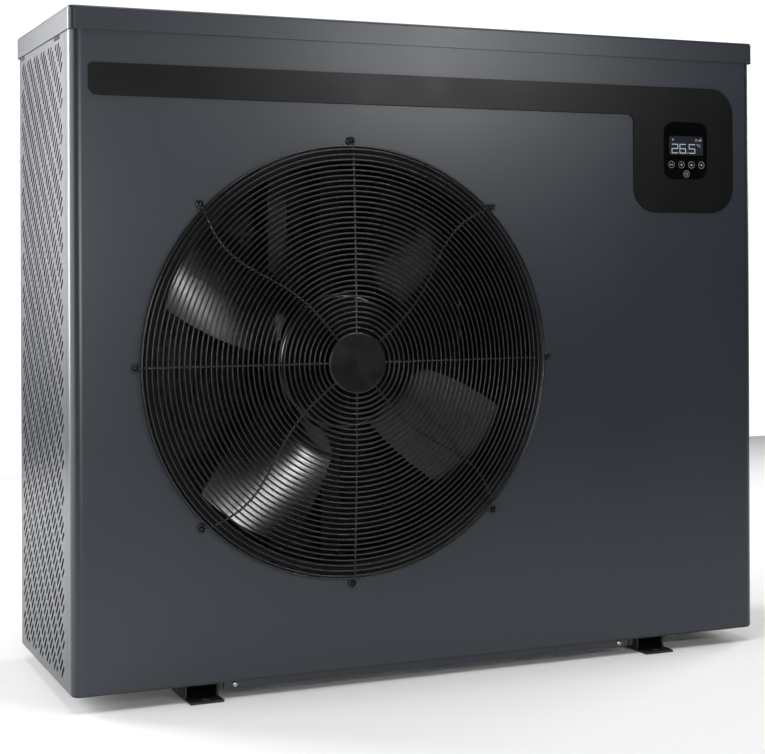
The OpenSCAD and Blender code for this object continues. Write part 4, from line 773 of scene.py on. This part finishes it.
# %% The tree that sets screws on their places
screw_tree, given, end = new_tree("screws on places", Head="Object", Metal="Material")
head = add(screw_tree, "GeometryNodeObjectInfo", {"Object": given.outputs["Head"]})
aim = add(screw_tree, "GeometryNodeInputNamedAttribute", {"Name": "aim"}, data_type="FLOAT_VECTOR")
turn = add(screw_tree, "FunctionNodeAlignRotationToVector", {"Vector": aim.outputs["Attribute"]}, axis="Z")
set_out = add(screw_tree, "GeometryNodeInstanceOnPoints", {
    "Points": given.outputs["Geometry"], "Instance": head.outputs["Geometry"], "Rotation": turn.outputs[0]})
whole = add(screw_tree, "GeometryNodeRealizeInstances", {"Geometry": set_out.outputs[0]})
dressed = add(screw_tree, "GeometryNodeSetMaterial", {
    "Geometry": whole.outputs[0], "Material": given.outputs["Metal"]})
screw_tree.links.new(dressed.outputs[0], end.inputs[0])
print("screw tree:", len(screw_tree.nodes), "nodes")

# %% [markdown]
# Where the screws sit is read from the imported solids: each screw of a group is one loose island
# of its node's mesh, and the middle of the island's head is its place.

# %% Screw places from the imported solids
def islands(node):
    """The lowest and highest corner of each separate solid of a node."""
    form = bmesh.new()
    form.from_mesh(frame["nodes"][node].data)
    bmesh.ops.remove_doubles(form, verts=form.verts, dist=weld)
    taken, found = set(), []
    for seed in form.verts:
        if seed in taken:
            continue
        reached, edge = {seed}, [seed]
        while edge:
            for link in edge.pop().link_edges:
                for vert in link.verts:
                    if vert not in reached:
                        reached.add(vert)
                        edge.append(vert)
        taken |= reached
        points = np.array([v.co[:] for v in reached])
        found.append((Vector(points.min(0)), Vector(points.max(0))))
    form.free()
    return found


side_zone = 0.95 * panel_high.x  # a screw further out than this may sit on a side panel


def screw_set(node, name, head_height):
    """Cross-headed screws in place of a node's plain ones; each faces out of its panel."""
    places, aims, radius = [], [], 0
    for low, high in islands(node):
        size, middle = high - low, (low + high) / 2
        if size.x < size.y and abs(middle.x) > side_zone:
            way = Vector((math.copysign(1, middle.x), 0, 0))
            seat = Vector((high.x - head_height, middle.y, middle.z))
            radius = size.y / 2
        else:
            at_front = middle.y < 0 or node == "strip_screws"
            way = Vector((0, -1 if at_front else 1, 0))
            outer = high.y - head_height if way.y > 0 else low.y + head_height
            seat = Vector((middle.x, outer, middle.z))
            radius = size.x / 2
        places.append(seat)
        aims.append(way)
    model = cross_headed(name + "_model", radius, head_height)
    group = run_tree(screw_tree, name, points_mesh(name + "_places", places, aims), Head=model,
                     Metal=finishes[slot_of[node]])
    bpy.data.objects.remove(model)
    print(f"{name}: {len(places)} screws of radius {radius * 1000:.1f} mm")
    return hand_over(group, node)


screw_set("panel_screws", "casing_screws", mm(2.2))
screw_set("strip_screws", "bright_screws", mm(3.0))
screw_set("guard_screws", "guard_cap_screws", mm(4.2))

# %% [markdown]
# ## Display and key marks
# The controller shows a temperature in seven-segment digits behind smoked acrylic, and each
# round key carries a printed ring and a simple sign. A flat outline, filled and given a hair of
# thickness, is enough for a print. The marks ride on their keys, so they sink when a key is pressed.

# %% Flat marks on the front
print_thick = mm(0.06)
print_lift = 0.2 * print_thick  # the back of a print stays this far off the surface under it


def mark_mesh(name, outlines, y):
    """Filled outlines in the XZ plane, standing print_thick in front of y."""
    form = bmesh.new()
    for loop in outlines:
        front = [form.verts.new((x, y - print_thick, z)) for x, z in loop]
        back = [form.verts.new((x, y - print_lift, z)) for x, z in loop]
        form.faces.new(front)
        form.faces.new(back[::-1])
        for k in range(len(loop)):
            m = (k + 1) % len(loop)
            form.faces.new([front[m], front[k], back[k], back[m]])
    bmesh.ops.recalc_face_normals(form, faces=form.faces)
    mesh = bpy.data.meshes.new(name)
    form.to_mesh(mesh)
    form.free()
    return mesh


def arc(x, z, radius, first, last, steps=20):
    """Points of an arc in the XZ plane, from one angle to another in degrees."""
    angles = [math.radians(first + (last - first) * k / steps) for k in range(steps + 1)]
    return [(x + radius * math.cos(a), z + radius * math.sin(a)) for a in angles]


def band(x, z, radius, width, first=0.0, last=359.0):
    """A ring, or part of one, as one outline."""
    return arc(x, z, radius + width / 2, first, last, 36) + arc(x, z, radius - width / 2, last, first, 36)


def bar(x0, z0, x1, z1):
    """A rectangle."""
    return [(x0, z0), (x1, z0), (x1, z1), (x0, z1)]


# %% Printed ink and lit segments
# flat pale ink, a little duller than the gloss under it
finishes["printed_mark"] = surface("screen-printed ink, pale grey", "#b4b9be", "#a9aeb4", rough=0.5,
                                   wander=4, grain=0.3, relief=0.004, IOR=1.5)
# a cool white that glows only faintly in a lit room
lit = surface("lit display segment", "#b9c2ca", "#aeb8c1", rough=0.5, wander=6, grain=0.5,
              relief=0.002, IOR=1.5)
lamp = next(n for n in lit.node_tree.nodes if n.type == "BSDF_PRINCIPLED")
lamp.inputs["Emission Color"].default_value = linear("#c9d3dc")
lamp.inputs["Emission Strength"].default_value = 0.12
finishes["lit_segment"] = lit


def add_marks(name, node, outlines, y, finish):
    """A print that rides with a node."""
    piece = new_piece(name, mark_mesh(name, outlines, y))
    piece.data.materials.append(finishes[finish])
    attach(piece, body_of[node])
    print(f"{name}: {len(outlines)} outlines on {node}")


# %% [markdown]
# Each digit is seven bars. Which of them are lit is the usual table, from a at the top,
# clockwise, to g in the middle.

# %% The temperature
window_low, window_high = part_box("display_window")
lit_bars = {"2": "abged", "6": "acdefg", "5": "acdfg"}


def digit(sign, x, z, width, tall, stroke):
    """The lit bars of one digit whose lower left corner is at x, z."""
    half = tall / 2
    gap = stroke * 0.25
    shapes = {
        "a": bar(gap, tall - stroke, width - gap, tall),
        "b": bar(width - stroke, half + gap, width, tall - gap),
        "c": bar(width - stroke, gap, width, half - gap),
        "d": bar(gap, 0, width - gap, stroke),
        "e": bar(0, gap, stroke, half - gap),
        "f": bar(0, half + gap, stroke, tall - gap),
        "g": bar(gap, half - stroke / 2, width - gap, half + stroke / 2)}
    return [[(x + px, z + pz) for px, pz in shapes[s]] for s in lit_bars[sign]]


digit_w, digit_h, stroke = mm(11.6), mm(14.6), mm(1.25)
left = window_low.x + mm(4.2)
foot = window_low.z + mm(2.4)
second, point, third = left + mm(14.2), left + mm(28.4), left + mm(31.0)
figures = digit("2", left, foot, digit_w, digit_h, stroke)
figures += digit("6", second, foot, digit_w, digit_h, stroke)
figures.append(bar(point, foot, point + stroke, foot + stroke))
figures += digit("5", third, foot, digit_w, digit_h, stroke)
degree_x, degree_z = left + mm(47.0), foot + digit_h
degree_r, degree_line = mm(1.0), mm(0.5)
scale_r, scale_line, scale_open = mm(1.7), mm(0.6), (50, 310)
figures.append(band(degree_x, degree_z - mm(1.2), degree_r, degree_line))
figures.append(band(degree_x + mm(4.2), degree_z - mm(2.6), scale_r, scale_line, *scale_open))
print(len(figures), "lit shapes in the temperature")

# %% [markdown]
# Above the figures stand three small symbols: three rising bars, a ring, and a six-armed star.

# %% Small symbols above the temperature
row = window_high.z - mm(5.6)
step_first, step_gap, step_w, step_rise = mm(1.6), mm(1.9), mm(1.1), mm(1.1)
step_foot, step_head = mm(1.6), mm(0.2)
for k in range(3):
    x = degree_x + step_first + step_gap * k
    figures.append(bar(x, row - step_foot, x + step_w, row + step_rise * k - step_head))
figures.append(band(degree_x - mm(2.6), row, mm(1.5), mm(0.5)))
star_x, arm_length, arm_half = left + mm(2.4), mm(1.9), mm(0.22)
for turn in (0, 60, 120):
    a = math.radians(turn)
    along = (arm_length * math.cos(a), arm_length * math.sin(a))
    across = (-arm_half * math.sin(a), arm_half * math.cos(a))
    figures.append([(star_x + i * along[0] + j * across[0], row + i * along[1] + j * across[1])
                    for i, j in ((-1, -1), (1, -1), (1, 1), (-1, 1))])
add_marks("display_figures", "display_window", figures, window_low.y, "lit_segment")

# %% [markdown]
# The keys carry a thin ring each, and inside it a generic sign: a dot and a bar for the mode,
# three round blades for the fan, triangles for up and down, and an open ring with a bar for power.

# %% Signs of the keys
key_ring_r, key_ring_line = mm(5.05), mm(0.4)
sign_r, sign_line = mm(2.1), mm(0.5)
mode_dot_x, mode_dot_r = mm(1.1), mm(0.9)
mode_bar_x, mode_bar_z = (mm(0.6), mm(2.0)), mm(1.2)
petal_place, petal_r, petal_turn, petal_steps = mm(1.2), mm(0.85), 340, 14
power_open, power_foot, power_head = (120, 420), mm(0.3), mm(2.6)
arrow_foot, arrow_head = mm(1.2), mm(1.9)


def key_signs(node):
    """The signs for one key: its ring and what it does."""
    low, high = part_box(node)
    x, z = (low.x + high.x) / 2, (low.z + high.z) / 2
    signs = [band(x, z, key_ring_r, key_ring_line)]
    if node == "key_mode":
        signs.append(band(x - mode_dot_x, z, mode_dot_r, sign_line))
        signs.append(bar(x + mode_bar_x[0], z - mode_bar_z, x + mode_bar_x[1], z + mode_bar_z))
    elif node == "key_fan":
        for k in range(3):
            a = math.radians(90 + 120 * k)
            petal_x, petal_z = x + petal_place * math.cos(a), z + petal_place * math.sin(a)
            signs.append(arc(petal_x, petal_z, petal_r, 0, petal_turn, petal_steps))
    elif node == "key_power":
        signs.append(band(x, z, sign_r, sign_line, *power_open))
        signs.append(bar(x - sign_line / 2, z + power_foot, x + sign_line / 2, z + power_head))
    else:
        way = 1 if node == "key_up" else -1
        foot_z, head_z = z - way * arrow_foot, z + way * arrow_head
        signs.append([(x - sign_r, foot_z), (x + sign_r, foot_z), (x, head_z)])
    return signs, low.y


for node in ("key_mode", "key_fan", "key_up", "key_down", "key_power"):
    signs, y = key_signs(node)
    add_marks(node + "_sign", node, signs, y, "printed_mark")

# %% [markdown]
# ## Camera, floor and light
# The camera stands left of the middle, 0.6 m up, and looks level at the unit, with the lens
# shifted down so that the upright edges stay upright.

# %% Camera
lens_data = bpy.data.cameras.new("camera")
lens_data.lens = 77.9
lens_data.sensor_width = 36.0
lens_data.shift_y = -0.1457
camera = bpy.data.objects.new("camera", lens_data)
camera.location = (-1.0165, -2.3518, 0.5932)
camera.rotation_euler = (math.radians(90), math.radians(0.24), math.radians(-23.04))
scene.collection.objects.link(camera)
scene.camera = camera
print("camera at", [round(c, 2) for c in camera.location], "with a lens of", lens_data.lens, "mm")

# %% [markdown]
# The floor is plain and pale. It ends not far behind the unit, where a studio's paper would
# curve up into the white background.

# %% Floor
floor_low, floor_high = (-3.6, -1.6), (3.6, 2.4)
floor_z = -mm(0.3)
floor_mesh = bpy.data.meshes.new("floor")
floor_mesh.from_pydata([(floor_low[0], floor_low[1], floor_z), (floor_high[0], floor_low[1], floor_z),
                        (floor_high[0], floor_high[1], floor_z), (floor_low[0], floor_high[1], floor_z)],
                       [], [(0, 1, 2, 3)])
floor = new_piece("floor", floor_mesh)
floor_mesh.materials.append(surface("matt studio floor", "#fbfbfb", "#f7f7f7", rough=0.8, wander=900,
                                    grain=30, relief=0.05, IOR=1.3))
print("floor of", floor_high[0] - floor_low[0], "by", floor_high[1] - floor_low[1], "m")

# %% [markdown]
# Six soft area lights. Two on the left, one behind and one beside the unit, make the grille side
# nearly white and draw the bright front corner. One overhead lights the cover and the floor.
# Two small ones stand in front: the upper right one gives the highlight across the cover's edge
# and the panel, and the one behind the camera catches the lower left blade. The last one, on the
# right, lights the side with the pipes. The surroundings add a faint glow from above, and are
# white where the camera looks straight at them.


# %% Lights and surroundings
def soft_light(name, place, target, width, tall, power):
    """A rectangular area light that faces a point."""
    data = bpy.data.lights.new(name, "AREA")
    data.shape = "RECTANGLE"
    data.size = width
    data.size_y = tall
    data.energy = power
    light = bpy.data.objects.new(name, data)
    light.location = place
    light.rotation_euler = (Vector(target) - Vector(place)).to_track_quat("-Z", "Y").to_euler()
    scene.collection.objects.link(light)


soft_light("left key", (-2.6, 2.6, 1.3), (-0.54, 0, 0.55), 1.8, 2.2, 175)
soft_light("left wall", (-3.1, -0.1, 0.9), (-0.54, -0.1, 0.5), 2.2, 1.8, 48)
soft_light("overhead", (0, -0.6, 2.8), (0, 0, 0.5), 2.4, 1.4, 44)
soft_light("upper right", (1.3, -3.0, 1.4), (0, 0, 0.85), 0.45, 0.25, 18)
soft_light("behind the camera", (-0.7, -3.1, 0.66), (-0.25, -0.1, 0.35), 0.7, 0.25, 26)
soft_light("right side", (2.9, 0.7, 1.5), (0.5, 0, 0.5), 1.4, 1.4, 45)

glow_from, glow_to = 0.35, 0.8  # height of a direction, as a sine, where the glow begins and is full
glow_low, glow_high, backdrop = 0.015, 0.12, 1.1
world = bpy.data.worlds.new("studio")
world.use_nodes = True
tree = world.node_tree
tree.nodes.clear()
way = add(tree, "ShaderNodeTexCoord").outputs["Generated"]
up = add(tree, "ShaderNodeSeparateXYZ", {"Vector": way}).outputs["Z"]
ceiling = add(tree, "ShaderNodeMapRange", {
    "Value": up, "From Min": glow_from, "From Max": glow_to, "To Min": glow_low, "To Max": glow_high},
    interpolation_type="SMOOTHSTEP")
around = add(tree, "ShaderNodeBackground", {"Color": linear("#f4f6fa"), "Strength": ceiling.outputs[0]})
seen = add(tree, "ShaderNodeBackground", {"Color": linear("#ffffff"), "Strength": backdrop})
eye = add(tree, "ShaderNodeLightPath")
choice = add(tree, "ShaderNodeMixShader", {
    "Fac": eye.outputs["Is Camera Ray"], 1: around.outputs[0], 2: seen.outputs[0]})
add(tree, "ShaderNodeOutputWorld", {"Surface": choice.outputs[0]})
scene.world = world
scene.view_settings.view_transform = "Standard"
